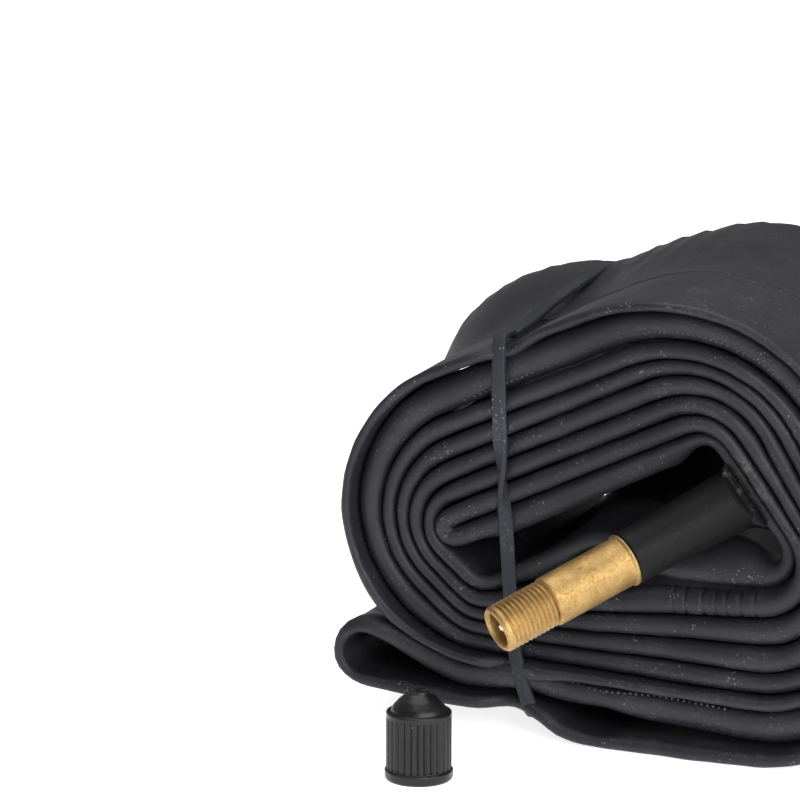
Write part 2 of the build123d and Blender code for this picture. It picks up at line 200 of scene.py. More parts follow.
def directions(points: np.ndarray) -> np.ndarray:
    """Unit direction of a closed line at each of its points."""
    step = np.roll(points, -1, axis=0) - np.roll(points, 1, axis=0)
    return step / np.linalg.norm(step, axis=1)[:, None]


# ------------------------------------------------------------------ finishes
class NodeTree:
    """Small helper that builds one material's nodes."""

    def __init__(self, name: str) -> None:
        """Starts an empty material with its shader and Object coordinates.

        Args:
            name: Name of the material.
        """
        self.material = bpy.data.materials.new(name)
        self.material.use_nodes = True
        self.nodes, self.links = self.material.node_tree.nodes, self.material.node_tree.links
        self.shader = self.nodes["Principled BSDF"]
        self.coords = self.nodes.new("ShaderNodeTexCoord")

    def point(self) -> Socket:
        """Place on the piece, in metres."""
        return self.coords.outputs["Object"]

    def noise(self, vector: Socket, scale: float, detail: float = 3, rough: float = 0.5) -> Socket:
        """A noise texture.

        Args:
            vector: Where it is read.
            scale: Size of its pattern, larger for finer.
            detail: Number of finer layers.
            rough: Strength of the finer layers.

        Returns:
            Its value.
        """
        node = self.nodes.new("ShaderNodeTexNoise")
        for key, number in (("Scale", scale), ("Detail", detail), ("Roughness", rough)):
            node.inputs[key].default_value = number
        self.links.new(vector, node.inputs["Vector"])
        return node.outputs["Fac"]

    def remap(self, value: Socket, low: float, high: float, to_low: float = 0, to_high: float = 1) -> Socket:
        """Stretches a value from one range to another, and clamps it.

        Args:
            value: The value.
            low: Start of its range.
            high: End of its range.
            to_low: Start of the new range.
            to_high: End of the new range.

        Returns:
            The new value.
        """
        node = self.nodes.new("ShaderNodeMapRange")
        for key, number in (("From Min", low), ("From Max", high), ("To Min", to_low), ("To Max", to_high)):
            node.inputs[key].default_value = number
        self.links.new(value, node.inputs["Value"])
        return node.outputs["Result"]

    def times(self, first: Socket, second: Socket) -> Socket:
        """Multiplies two values.

        Args:
            first: One value.
            second: The other.

        Returns:
            Their product.
        """
        node = self.nodes.new("ShaderNodeMath")
        node.operation = "MULTIPLY"
        self.links.new(first, node.inputs[0])
        self.links.new(second, node.inputs[1])
        return node.outputs[0]

    def distance(self, vector: Socket, place: Triple) -> Socket:
        """Measures how far each point is from a fixed place.

        Args:
            vector: The point.
            place: The fixed place.

        Returns:
            The distance.
        """
        node = self.nodes.new("ShaderNodeVectorMath")
        node.operation = "DISTANCE"
        self.links.new(vector, node.inputs[0])
        node.inputs[1].default_value = place
        return node.outputs["Value"]

    def mix(self, amount: Socket, first: Socket | Colour, second: Colour) -> Socket:
        """Blends two colours.

        Args:
            amount: 0 for the first and 1 for the second.
            first: The first colour.
            second: The second colour.

        Returns:
            The blended colour.
        """
        node = self.nodes.new("ShaderNodeMix")
        node.data_type = "RGBA"
        self.links.new(amount, node.inputs["Factor"])
        for key, colour in (("A", first), ("B", second)):
            socket = next(s for s in node.inputs if s.name == key and s.type == "RGBA")
            if isinstance(colour, tuple):
                socket.default_value = (*colour, 1)
            else:
                self.links.new(colour, socket)
        return next(s for s in node.outputs if s.type == "RGBA")

    def specks(self, vector: Socket, scale: float, size: float) -> Socket:
        """Scatters small dots.

        Args:
            vector: Where they are read.
            scale: How close they are.
            size: Their size, as a share of the distance between them.

        Returns:
            1 inside a dot and 0 outside.
        """
        cells = self.nodes.new("ShaderNodeTexVoronoi")
        cells.inputs["Scale"].default_value = scale
        self.links.new(vector, cells.inputs["Vector"])
        return self.remap(cells.outputs["Distance"], size, size * 0.6)

    def set(self, **values: float | tuple[float, ...]) -> None:
        """Sets constant shader values by input name, with underscores for spaces."""
        for key, value in values.items():
            self.shader.inputs[key.replace("_", " ")].default_value = value

    def finish(self, colour: Socket, roughness: Socket, bump: Socket, depth: float) -> Material:
        """Links colour, roughness and bump to the shader.

        Args:
            colour: Colour socket.
            roughness: Roughness socket.
            bump: Height socket.
            depth: Height of the bump in metres.

        Returns:
            The material.
        """
        self.links.new(colour, self.shader.inputs["Base Color"])
        self.links.new(roughness, self.shader.inputs["Roughness"])
        node = self.nodes.new("ShaderNodeBump")
        node.inputs["Distance"].default_value = depth
        self.links.new(bump, node.inputs["Height"])
        self.links.new(node.outputs["Normal"], self.shader.inputs["Normal"])
        return self.material


@dataclass(frozen=True)
class RubberFinish:
    """Soft black rubber with talc dust, specks and faint flow marks."""

    name: str
    dark: Colour = (0.008, 0.008, 0.0108)
    light: Colour = (0.021, 0.0205, 0.0275)
    dust: Colour = (0.22, 0.22, 0.23)
    speck_share: float = 0.5
    smooth: float = 0.40
    rough: float = 0.58
    grain: float = 0.00007
    gloss: float = 0.34
    scuff: float = 0.35
    residue_at: Triple | None = None
    residue_reach: Pair = (0.0085, 0.0045)
    residue: Colour = (0.055, 0.054, 0.050)
    scuff_colour: Colour = (0.075, 0.074, 0.08)

    def material(self) -> Material:
        """Builds the node material.

        Returns:
            The material.
        """
        tree = NodeTree(self.name)
        point = tree.point()
        cloud = tree.noise(point, 38, 4, 0.6)
        fine = tree.noise(point, 2000, 3, 0.6)
        body = tree.mix(tree.remap(cloud, 0.3, 0.7), self.dark, self.light)
        scuffed = tree.times(tree.remap(tree.noise(point, 55, 5, 0.75), 0.56, 0.72), tree.remap(fine, 0.42, 0.62))
        body = tree.mix(tree.remap(scuffed, 0, 1, 0, self.scuff), body, self.scuff_colour)
        dotted = tree.times(tree.specks(point, 1500, 0.26), tree.remap(tree.noise(point, 190, 4, 0.7), 0.55, 0.62))
        powder = tree.times(tree.remap(fine, 0.55, 0.68), tree.remap(tree.noise(point, 75, 5, 0.75), 0.52, 0.66))
        body = tree.mix(tree.remap(dotted, 0, 1, 0, self.speck_share), body, self.dust)
        body = tree.mix(tree.remap(powder, 0, 1, 0, self.speck_share * 0.6), body, self.dust)
        if self.residue_at:
            near = tree.times(
                tree.remap(tree.distance(point, self.residue_at), *self.residue_reach),
                tree.remap(tree.noise(point, 420, 5, 0.75), 0.48, 0.66))
            body = tree.mix(near, body, self.residue)
        tree.set(Specular_IOR_Level=self.gloss)
        roughness = tree.remap(cloud, 0.3, 0.7, self.rough, self.smooth)
        return tree.finish(body, roughness, fine, self.grain)


@dataclass(frozen=True)
class PatchFinish:
    """Rubber pad whose rim carries a pale grey bond line."""

    name: str

    def material(self) -> Material:
        """Builds the node material.

        Returns:
            The material.
        """
        tree = NodeTree(self.name)
        point = tree.point()
        blotch = tree.noise(point, 230, 5, 0.75)
        body = tree.mix(tree.remap(blotch, 0.54, 0.66), (0.011, 0.011, 0.012), (0.105, 0.102, 0.094))
        tree.set(Specular_IOR_Level=0.15)
        return tree.finish(body, tree.remap(blotch, 0.3, 0.7, 0.7, 0.9), blotch, 0.0002)


@dataclass(frozen=True)
class MetalFinish:
    """Turned metal with grain, small pits and tarnish."""

    name: str
    bright: Colour = (0.50, 0.33, 0.13)
    dull: Colour = (0.31, 0.195, 0.073)
    pit: Colour = (0.12, 0.066, 0.022)
    smooth: float = 0.42
    rough: float = 0.66
    grain: float = 0.0001

    def material(self) -> Material:
        """Builds the node material.

        Returns:
            The material.
        """
        tree = NodeTree(self.name)
        point = tree.point()
        cloud = tree.noise(point, 210, 5, 0.7)
        fine = tree.noise(point, 2300, 3, 0.65)
        body = tree.mix(tree.remap(cloud, 0.36, 0.66), self.bright, self.dull)
        body = tree.mix(tree.remap(fine, 0.56, 0.74, 0, 0.75), body, self.dull)
        pits = tree.times(tree.remap(tree.noise(point, 1250, 4, 0.7), 0.60, 0.68), tree.remap(cloud, 0.42, 0.6))
        body = tree.mix(pits, body, self.pit)
        tree.set(Metallic=1.0)
        return tree.finish(body, tree.remap(fine, 0.35, 0.7, self.smooth, self.rough), fine, self.grain)


@dataclass(frozen=True)
class PlasticFinish:
    """Black moulded plastic, satin, with fine scratches and dust."""

    name: str
    dark: Colour = (0.005, 0.005, 0.0055)
    light: Colour = (0.011, 0.011, 0.012)

    def material(self) -> Material:
        """Builds the node material.

        Returns:
            The material.
        """
        tree = NodeTree(self.name)
        point = tree.point()
        cloud = tree.noise(point, 300, 4, 0.6)
        fine = tree.noise(point, 1800, 3, 0.6)
        body = tree.mix(tree.remap(cloud, 0.35, 0.7), self.dark, self.light)
        dots = tree.times(tree.specks(point, 900, 0.2), tree.remap(tree.noise(point, 500, 2), 0.62, 0.7))
        body = tree.mix(tree.remap(dots, 0, 1, 0, 0.6), body, (0.35, 0.35, 0.35))
        tree.set(Specular_IOR_Level=0.34)
        return tree.finish(body, tree.remap(cloud, 0.3, 0.7, 0.27, 0.42), fine, 0.00003)


@dataclass(frozen=True)
class FloorFinish:
    """Plain pale floor."""

    name: str = "pale_floor"

    def material(self) -> Material:
        """Builds the plain material.

        Returns:
            The material.
        """
        tree = NodeTree(self.name)
        tree.set(Base_Color=(0.90, 0.90, 0.90, 1), Roughness=0.8, Specular_IOR_Level=0.2)
        tree.set(Emission_Color=(1, 1, 1, 1), Emission_Strength=0.80)
        return tree.material


def dress(obj: Piece, material: Material) -> None:
    """Gives every material slot of an object one material.

    Args:
        obj: The piece.
        material: Its material.
    """
    if not obj.material_slots:
        obj.data.materials.append(material)
    for index in range(len(obj.material_slots)):
        obj.material_slots[index].material = material


# ------------------------------------------------------------------ route of the rolled tube
class Turn(Enum):
    """Which way the strand turns round a bend, seen from the front."""

    LEFT = 1
    RIGHT = -1


@dataclass(frozen=True)
class Bend:
    """Circle that a strand turns round, in millimetres."""

    x: float
    z: float
    radius: float
    turn: Turn


def stack(start: float, gaps: tuple[float, ...], strand: float) -> list[float]:
    """Middles of neighbouring strands, outwards from a start.

    Args:
        start: Middle of the innermost strand.
        gaps: Gaps between neighbours.
        strand: Thickness of a strand.

    Returns:
        The middle of each strand.
    """
    places = [start]
    for gap in gaps:
        places.append(places[-1] + strand + gap)
    return places


def between(ends: tuple[Pair, Pair], share: float) -> Pair:
    """Point between two ends."""
    return tuple(a + (b - a) * share for a, b in zip(*ends))


@dataclass
class RollRoute:
    """The double belt: a closed line of arcs and runs in the roll's front plane, in millimetres."""

    strand: float = 1.8
    top_start: float = 17.6
    top_gaps: tuple[float, ...] = (0.5, 1.1, 1.4, 1.0, 0.6, 2.7, 1.2)
    bottom_start: float = 4.5
    bottom_gaps: tuple[float, ...] = (2.2, 2.7, 3.0, 2.0, 1.1, 1.7, 3.6)
    right_start: float = 29.0
    right_gap: float = 1.05
    left_start: float = 31.6
    left_gaps: tuple[float, ...] = (0.3, 0.4, 0.6, 1.4, 1.2)
    fold_gaps: tuple[float, ...] = (0.5, 0.4, 0.4, 0.6, 0.6, 0.6)
    upper_right: tuple[Pair, Pair] = ((15.2, 15.0), (9.0, 5.0))
    upper_left: tuple[Pair, Pair] = ((-26.0, -0.5), (-20.0, 2.5))
    lower_right_radius: float = 4.0
    fold: Circle = ((-22.3, -8.8), 1.5)
    inner_hairpin: Circle = ((-27.4, -0.9), 2.0)
    outer_hairpin: Circle = ((-41.6, -22.6), 4.6)
    leaf: Circle = ((9.0, 1.0), 5.5)
    hump: Circle = ((-2.5, -6.0), 5.0)
    pinch_x: float = -15.0
    pinch_radius: float = 10.0
    pinch_lift: float = 3.2
    foot_x: float = 0.0
    samples: int = 1100
    ease: float = 1.3
    fineness: float = 0.05

    def __post_init__(self) -> None:
        """Works out the bends from the driving sizes."""
        self.tops = stack(self.top_start, self.top_gaps, self.strand)
        self.bottoms = stack(self.bottom_start, self.bottom_gaps, self.strand)
        self.rights = stack(self.right_start, (self.right_gap,) * (len(self.tops) - 1), self.strand)
        self.lefts = stack(self.left_start, self.left_gaps, self.strand)
        self.folds = stack(self.fold[1], self.fold_gaps, self.strand)
        self.bends = self.make_bends()

    def right_side(self, level: int) -> list[Circle]:
        """Bends of one strand at the right.

        Args:
            level: Number of the strand, outwards from 0.

        Returns:
            Its upper and its lower bend.
        """
        upper = between(self.upper_right, level / (len(self.tops) - 1))
        radius = self.lower_right_radius + self.rights[level] - self.rights[0]
        lower = (self.rights[level] - radius, radius - self.bottoms[level])
        return [(upper, self.tops[level] - upper[1]), (lower, radius)]

    def left_side(self, level: int) -> list[Circle]:
        """Lower bend, round the fold, and upper bend of one strand at the left."""
        upper = between(self.upper_left, level / (len(self.lefts) - 1))
        return [(self.fold[0], self.folds[level]), (upper, upper[0] + self.lefts[level])]

    def make_bends(self) -> list[Bend]:
        """Puts the bends in order: out along one strand, round the outer fold, back along the other.

        Returns:
            The bends of the closed line.
        """
        last = len(self.tops) - 1
        last_upper, last_lower = self.right_side(last)
        pinch = ((self.pinch_x, -self.bottoms[-1] + self.pinch_lift - self.pinch_radius), self.pinch_radius)
        foot = ((self.foot_x, last_lower[0][1]), last_lower[1])
        plan = [(Turn.LEFT, [self.inner_hairpin])]
        plan += [(Turn.RIGHT, [*self.right_side(0), self.leaf]), (Turn.LEFT, [self.hump])]
        plan += [(Turn.RIGHT, [self.fold, self.left_side(0)[1]])]
        for level in (2, 4):
            plan += [(Turn.RIGHT, self.right_side(level) + self.left_side(level))]
        plan += [(Turn.RIGHT, [*self.right_side(last - 1), (self.fold[0], self.folds[-1])])]
        plan += [(Turn.LEFT, [self.outer_hairpin]), (Turn.RIGHT, [pinch])]
        plan += [(Turn.LEFT, [foot, last_lower, last_upper])]
        for level in (5, 3, 1):
            plan += [(Turn.LEFT, self.left_side(level)[::-1] + self.right_side(level)[::-1])]
        return [Bend(*centre, radius, turn) for turn, circles in plan for centre, radius in circles]

    @staticmethod
    def heading(first: Bend, second: Bend) -> float:
        """Direction of the straight run between two bends.

        Args:
            first: Bend that the run leaves.
            second: Bend that it comes to.

        Returns:
            Its angle from the x direction, in radians.
        """
        dx, dz = second.x - first.x, second.z - first.z
        offset = second.turn.value * second.radius - first.turn.value * first.radius
        return float(np.arctan2(dz, dx) - np.arcsin(offset / np.hypot(dx, dz)))

    @staticmethod
    def touch(bend: Bend, angle: np.ndarray | float) -> np.ndarray:
        """Where lines with these directions touch the bend.

        Args:
            bend: The bend.
            angle: Directions in radians.

        Returns:
            Points on the bend's circle.
        """
        reach = bend.turn.value * bend.radius
        return np.stack([bend.x + reach * np.sin(angle), bend.z - reach * np.cos(angle)], axis=-1)

    def line(self) -> tuple[np.ndarray, np.ndarray]:
        """The eased closed line.

        Returns:
            Evenly spaced points, and at each the number of its bend, with halves on straight runs.
        """
        count, step = len(self.bends), self.fineness
        headings = [self.heading(b, self.bends[(i + 1) % count]) for i, b in enumerate(self.bends)]
        points, marks = [], []
        for i, bend in enumerate(self.bends):
            sweep = (bend.turn.value * (headings[i] - headings[i - 1])) % (2 * pi)
            parts = max(2, int(sweep * bend.radius / step))
            angles = headings[i - 1] + bend.turn.value * np.linspace(0, sweep, parts)
            arc = self.touch(bend, angles)
            end = self.touch(self.bends[(i + 1) % count], headings[i])
            parts = max(2, int(np.hypot(*(end - arc[-1])) / step))
            run = arc[-1] + np.linspace(0, 1, parts, endpoint=False)[1:, None] * (end - arc[-1])
            points += [arc, run]
            marks += [np.full(len(arc), float(i)), i + np.linspace(0.05, 0.95, len(run))]
        dense, mark = np.concatenate(points), np.concatenate(marks)
        steps = np.hypot(*np.diff(dense, axis=0, append=dense[:1]).T)
        distance = np.concatenate([[0], np.cumsum(steps)])
        wanted = np.linspace(0, distance[-1], self.samples, endpoint=False)
        closed = np.vstack([dense, dense[:1]])
        even = np.stack([np.interp(wanted, distance, closed[:, k]) for k in (0, 1)], axis=-1)
        self.length = float(distance[-1])
        return self.eased(even), np.interp(wanted, distance, np.append(mark, count))

    def eased(self, points: np.ndarray) -> np.ndarray:
        """Softens the corners, so that the curve's bend changes gradually.

        Args:
            points: Evenly spaced points of the closed line.

        Returns:
            The softened points.
        """
        spacing = self.length / self.samples
        reach = int(3 * self.ease / spacing) + 1
        offsets = np.arange(-reach, reach + 1)
        weights = np.exp(-0.5 * (offsets * spacing / self.ease) ** 2)
        weights /= weights.sum()
        return sum(w * np.roll(points, -k, axis=0) for k, w in zip(offsets, weights))


# ------------------------------------------------------------------ the rolled tube
@dataclass
class RolledTube:
    """The flat tube wound up: a flattened section swept along the roll's route.

    Sizes are in millimetres. A place along the route is given by its bend number, and a stretch of the route by
    where a change begins, how long it takes, where it is over again and how long that takes.
    """

    route: RollRoute
    front: float
    back: float
    shift: np.ndarray
    wall: float = 0.9
    strand_gap: float = 0.16
    facing_least: float = 0.93
    own_reach: float = 5.5
    open_room: float = 7.2
    open_half: float = 1.25
    half_limits: Pair = (0.72, 3.1)
    leg: Stretch = (0.1, 0.12, 0.93, 0.1)
    bulge_across: Stretch = (7, 12, 29.5, 8)
    underneath: Stretch = (19.0, 0.3, 21.9, 0.3)
    underneath_half: float = 0.84
    held_by_band: Stretch = (16.1, 0.4, 19.9, 0.5)
    band_bottom: Pair = (-14.5, 6.5)
    band_top: Pair = (-17.0, 3.4)
    band_dent: float = 2.6
    top_pinch: float = 1.3
    outer_sheet: Stretch = (17.6, 0.5, 25.0, 0.5)
    outer_reach: float = 0.8
    hollow_floor: Stretch = (2.5, 0.6, 5.0, 0.7)
    floor_rise: float = 7.0
    roof_drop: float = 1.4
    leaf: Stretch = (2.0, 0.5, 4.6, 0.7)
    long_waves: Triple = (61.0, 37.0, 23.0)
    short_waves: Pair = (9.0, 5.3)
    back_waves: Triple = (83.0, 41.0, 19.0)
    fold_waves: Pair = (11.0, 6.1)
    sheet_waves: Pair = (47.0, 29.0)
    kink_waves: Pair = (17.0, 7.3)
    plump_marks: tuple[float, ...] = (0, 12.6, 14.2, 16.9, 17.4, 18.2, 24.6, 25.4, 34)
    plump_values: tuple[float, ...] = (1, 1, 1.7, 1.7, 1.5, 0.62, 0.60, 1, 1)
    depth_marks: tuple[float, ...] = (0, 0.6, 1, 2.4, 3.4, 4.6, 5.2, 6.5, 13, 16, 18, 24.3, 25.2, 27, 33.3, 34)
    depth_values: tuple[float, ...] = (
        -0.2, 2.2, 1.8, 1.8, 2.6, 2.6, 0.6, 0.2, 0.2, -0.3, -2.2, -2.6, -0.8, 0.2, 0.1, -0.2)
    flare_angles: tuple[float, ...] = (0, 59, 83, 105, 115, 127, 148, 165, 187, 203, 225, 310, 360)
    flare_sizes: tuple[float, ...] = (1.2, 1.7, 3.0, 3.2, 5.0, 6.6, 8.0, 7.0, 4.0, 1.2, 0, 0, 1.2)
    seam_depth: float = 26.0
    leg_half: float = 2.7
    leaf_half: float = 4.3
    band_lift: float = 1.3
    leaf_lift: float = 3.4
    wrinkle_pitch: float = 2.3
    wrinkle_depth: float = 0.13
    wrinkle_fineness: int = 6
    wrinkles_at: float = 32.5
    wrinkles_between: Pair = (7, 35)
    wrinkles_across: Stretch = (8, 4, 34, 4)
    mould_line: float = 0.36
    mould_ridge: float = 0.14
    pip_rows: tuple[Pair, Pair] = ((14.15, 15.6), (16.1, 16.85))
    pip_pitch: float = 0.98
    pip_radii: Pair = (0.22, 0.33)
    pips_missing: float = 0.06
    flare_centre: Pair = (-12.0, 0.0)
    flare_sector: int = 6
    cap_steps: int = 7
    cap_reach: float = 1.05
    cap_fullness: float = 0.9
    shoulder: tuple[float, ...] = (0.6, 1.4, 2.5, 4.0, 6.0)
    middle_steps: int = 9

    def spacing(self, points: np.ndarray, normals: np.ndarray, marks: np.ndarray) -> tuple[np.ndarray, ...]:
        """Room for the strand's fold on its left and right, shared with the next strand.

        Args:
            points: Route points.
            normals: Left normals.
            marks: Bend numbers along the route.

        Returns:
            Half thickness at the fold edge on the left and on the right.
        """
        plump = np.interp(marks, self.plump_marks, self.plump_values)
        offset = points[None] - points[:, None]
        apart = np.abs(np.arange(len(points))[None] - np.arange(len(points))[:, None])
        apart = np.minimum(apart, len(points) - apart) * self.route.length / len(points)
        distance = np.linalg.norm(offset, axis=2) + 1e-9
        facing = np.einsum("ijk,ik->ij", offset, normals) / distance
        sides = []
        for side in (1, -1):
            seen = np.where((apart > self.own_reach) & (facing * side > self.facing_least), distance, 99.0)
            nearest = seen.argmin(axis=1)
            room = seen[np.arange(len(points)), nearest]
            share = room * plump / (plump + plump[nearest]) - self.strand_gap
            free = np.where(plump < 0.9, self.wall, self.open_half)
            sides.append(softened(np.where(room > self.open_room, free, np.clip(share, *self.half_limits))))
        left, right = sides
        right = right + (self.leg_half - right) * window(marks, *self.leg)
        bulge = (np.abs(marks - 2.6) < 0.9) * window(points[:, 0], *self.bulge_across) * (points[:, 1] < 0)
        right = right + (self.leaf_half - right) * bulge
        flat = window(marks, *self.underneath)
        right = right + (np.minimum(right, self.underneath_half) - right) * flat
        return left, right

    def section(self) -> list[tuple[str, float]]:
        """Places along one side of the section, from its front tip to its back tip.

        Returns:
            Zone name and position in the zone, for each place.
        """
        angles = np.linspace(0, pi / 2, self.cap_steps)
        places = [("front_cap", a) for a in angles]
        places += [("front_shoulder", s) for s in self.shoulder]
        middle = [*np.linspace(0, 1, self.middle_steps + 2)[1:-1]]
        middle += [self.mould_line + side * 0.005 for side in (-1, 0, 1)]
        places += [("middle", f) for f in sorted(middle)]
        places += [("back_shoulder", s) for s in self.shoulder[::-1]]
        places += [("back_cap", a) for a in angles[::-1]]
        return places

    def profile(
        self, zone: str, value: float, edge: np.ndarray, front: np.ndarray, back: np.ndarray
    ) -> tuple[np.ndarray, np.ndarray]:
        """Depth and half thickness of one place of the section, all along the route.

        Args:
            zone: Zone of the section.
            value: Position in the zone.
            edge: Half thickness at the fold edge.
            front: Depth of the front fold's tip.
            back: Depth of the back fold's tip.

        Returns:
            Depth and half thickness.
        """
        reach = np.maximum(edge, 1.0) * self.cap_reach
        last = self.shoulder[-1] + 1.5
        if zone.endswith("cap"):
            inset, half = reach * (1 - cos(value)), edge * sin(value) ** self.cap_fullness
        elif zone.endswith("shoulder"):
            fall = smooth_step(np.array(value / last))
            inset, half = reach + value, edge + (self.wall - edge) * fall
        else:
            inset, half = reach + last, np.full_like(edge, self.wall)
        if zone.startswith("front"):
            return front + inset, half
        if zone.startswith("back"):
            return back - inset, half
        start, end = front + inset, back - inset
        return start + (end - start) * value, half

    def flare(self, points: np.ndarray) -> np.ndarray:
        """Outward lean of the roll's back edge, most for the outermost strand.

        Args:
            points: Route points.

        Returns:
            Lean of each point across the route's plane.
        """
        ray = points - np.array(self.flare_centre)
        angle, reach = np.degrees(np.arctan2(ray[:, 1], ray[:, 0])) % 360, np.linalg.norm(ray, axis=1)
        sector = (angle // self.flare_sector).astype(int)
        outer = np.ones(360 // self.flare_sector)
        np.maximum.at(outer, sector, reach)
        inner_share = np.clip(reach / outer[sector], 0, 1) ** 3
        size = np.interp(angle, self.flare_angles, self.flare_sizes) * inner_share
        return ray / reach[:, None] * size[:, None]

    def surface(self) -> np.ndarray:
        """Every vertex of the swept section.

        Returns:
            Array of route samples by section places by 3, in millimetres in the row frame.
        """
        points, marks = self.route.line()
        held = window(marks, *self.held_by_band) * (points[:, 1] < -20)
        points[:, 1] += self.band_lift * held * hill(points[:, 0], *self.band_bottom)
        tangents = directions(points)
        normals = np.stack([-tangents[:, 1], tangents[:, 0]], axis=-1)
        left, right = self.spacing(points, normals, marks)
        along = np.arange(len(points)) * self.route.length / len(points)
        under_band = hill(points[:, 0], *self.band_top)
        outer = window(marks, *self.outer_sheet)
        front = self.front + np.interp(marks, self.depth_marks, self.depth_values)
        front += 0.45 * ripple(along, self.long_waves, 3) + 0.08 * ripple(along, self.short_waves, 4)
        front += outer * under_band * self.band_dent
        back = self.back + 0.9 * ripple(along, self.back_waves, 5) + self.outer_reach * outer
        lean = self.flare(points)
        floor = window(marks, *self.hollow_floor)
        roof = smooth_step((marks - 33.6) / 0.5) + smooth_step((1.0 - marks) / 0.7)
        sag = np.stack([np.zeros(len(points)), self.floor_rise * floor - self.roof_drop * roof], axis=-1)
        leaf = window(marks, *self.leaf) * self.leaf_lift
        top_pinch = outer * under_band * (points[:, 1] > 0) * self.top_pinch
        self.points, self.normals, self.marks, self.along = points, normals, marks, along
        self.left, self.front_edge = left, front
        down = self.section()
        up = down[-2:0:-1]
        rings = []
        for side, edge, places in ((1, left, down), (-1, right, up)):
            for zone, value in places:
                depth, half = self.profile(zone, value, edge, front, back)
                if zone.startswith("front"):
                    half = half - 0.05 * ripple(along, self.fold_waves, 6) * (half > 0.5)
                if zone == "middle" and value == self.mould_line:
                    half = half + self.mould_ridge
                inward = depth - self.front
                share = smooth_step((inward - self.seam_depth) / (self.back - self.front - self.seam_depth))
                lift = 0.45 * ripple(along + 0.8 * depth, self.sheet_waves, 7) * smooth_step(inward / 20)
                ring = points + normals * (side * half)[:, None] + lean * share[:, None]
                ring = ring + normals * (lift * outer * 0.5)[:, None]
                ring = ring + sag * smooth_step((inward - 30.0) / 26.0)[:, None]
                ring[:, 1] += leaf * smooth_step((inward - 1.0) / 13.0) * (1 - smooth_step((inward - 15.0) / 17.0))
                ring[:, 1] -= top_pinch * (1 - 0.5 * share)
                rings.append(np.stack([ring[:, 0], depth, ring[:, 1]], axis=-1))
        rings.append(rings[0])
        shares = {"front_cap": 1.0, "front_shoulder": 0.5}
        front_share = np.array([shares.get(zone, 0.0) for zone, _ in down + up + down[:1]])
        return self.wrinkled(np.stack(rings, axis=1), front_share) + self.shift

    def wrinkled(self, cloud: np.ndarray, front_share: np.ndarray) -> np.ndarray:
        """Adds closer sections, and small cross wrinkles on their front fold, where the strand was kinked.

        Args:
            cloud: Vertices by route sample and section place.
            front_share: How far each section place takes part.

        Returns:
            The vertices with the closer sections put in.
        """
        x = self.points[:, 0]
        low, high = self.wrinkles_between
        kinked = np.flatnonzero((np.abs(self.marks - self.wrinkles_at) < 0.5) & (x > low) & (x < high))
        first, last = kinked[0], kinked[-1]
        steps = np.linspace(first, last, (last - first) * self.wrinkle_fineness + 1)
        at = np.concatenate([np.arange(first), steps, np.arange(last + 1, len(cloud))])
        index = np.minimum(at.astype(int), len(cloud) - 1)
        following, share = (index + 1) % len(cloud), (at - index)[:, None]
        centre = self.points[index] * (1 - share) + self.points[following] * share
        cloud = cloud[index] * (1 - share[..., None]) + cloud[following] * share[..., None]
        along = at * self.route.length / len(self.points)
        wave = np.sin(along * 2 * pi / self.wrinkle_pitch + 1.3 * ripple(along, self.kink_waves, 12))
        inside = (at >= first) & (at <= last)
        ends = window(centre[:, 0], *self.wrinkles_across)
        crease = (inside * ends * smooth_step((wave - 0.72) / 0.26))[:, None] * front_share[None]
        pull = 1 - self.wrinkle_depth * crease
        cloud[..., 0] = centre[:, :1] + (cloud[..., 0] - centre[:, :1]) * pull
        cloud[..., 2] = centre[:, 1:] + (cloud[..., 2] - centre[:, 1:]) * pull
        cloud[..., 1] += 1.1 * self.wrinkle_depth * crease
        return cloud

    def build(self) -> Piece:
        """Models the rolled tube as one closed skin.

        Returns:
            The finished piece.
        """
        cloud = self.surface() * MM
        columns, rows = cloud.shape[0], cloud.shape[1] - 1
        return wrapped_grid("rolled_tube", columns, rows, lambda i, k: cloud[i % columns, k])

    def pip_places(self) -> list[tuple[float, ...]]:
        """Spots of the moulding pips, evenly spaced with a few missing.

        Returns:
            Place and radius of each pip, in millimetres.
        """
        rng = np.random.default_rng(11)
        spots = []
        for start, end in self.pip_rows:
            row = self.along[(self.marks > start) & (self.marks < end)]
            for s in np.arange(row[0], row[-1], self.pip_pitch):
                if rng.random() < self.pips_missing:
                    continue
                at = [np.interp(s, self.along, column) for column in (*self.points.T, *self.normals.T)]
                edge, tip = np.interp(s, self.along, self.left), np.interp(s, self.along, self.front_edge)
                side = -0.60 * edge + rng.normal(0, 0.03)
                depth = tip + 0.16 * max(edge, 1.0)
                spots.append((at[0] + at[2] * side, depth, at[1] + at[3] * side, rng.uniform(*self.pip_radii)))
        return spots

    def pips(self) -> Piece:
        """Models the tiny rubber pips that the mould's air vents leave along the fold's edge.

        Returns:
            The finished piece.
        """
        deselect()
        bpy.ops.mesh.primitive_ico_sphere_add(subdivisions=1, radius=1)
        seed = bpy.context.object
        balls = []
        for x, y, z, radius in self.pip_places():
            ball = seed.copy()
            ball.data = seed.data.copy()
            bpy.context.collection.objects.link(ball)
            ball.location = (np.array((x, y, z)) + self.shift) * MM
            ball.scale = (radius * MM,) * 3
            balls.append(ball)
        bpy.data.objects.remove(seed)
        deselect()
        for ball in balls:
            ball.select_set(True)
        bpy.context.view_layer.objects.active = balls[0]
        bpy.ops.object.transform_apply(location=True, rotation=True, scale=True)
        bpy.ops.object.join()
        pips = bpy.context.object
        bpy.ops.object.shade_smooth()
        pips.name = pips.data.name = "moulding_pips"
        return pips


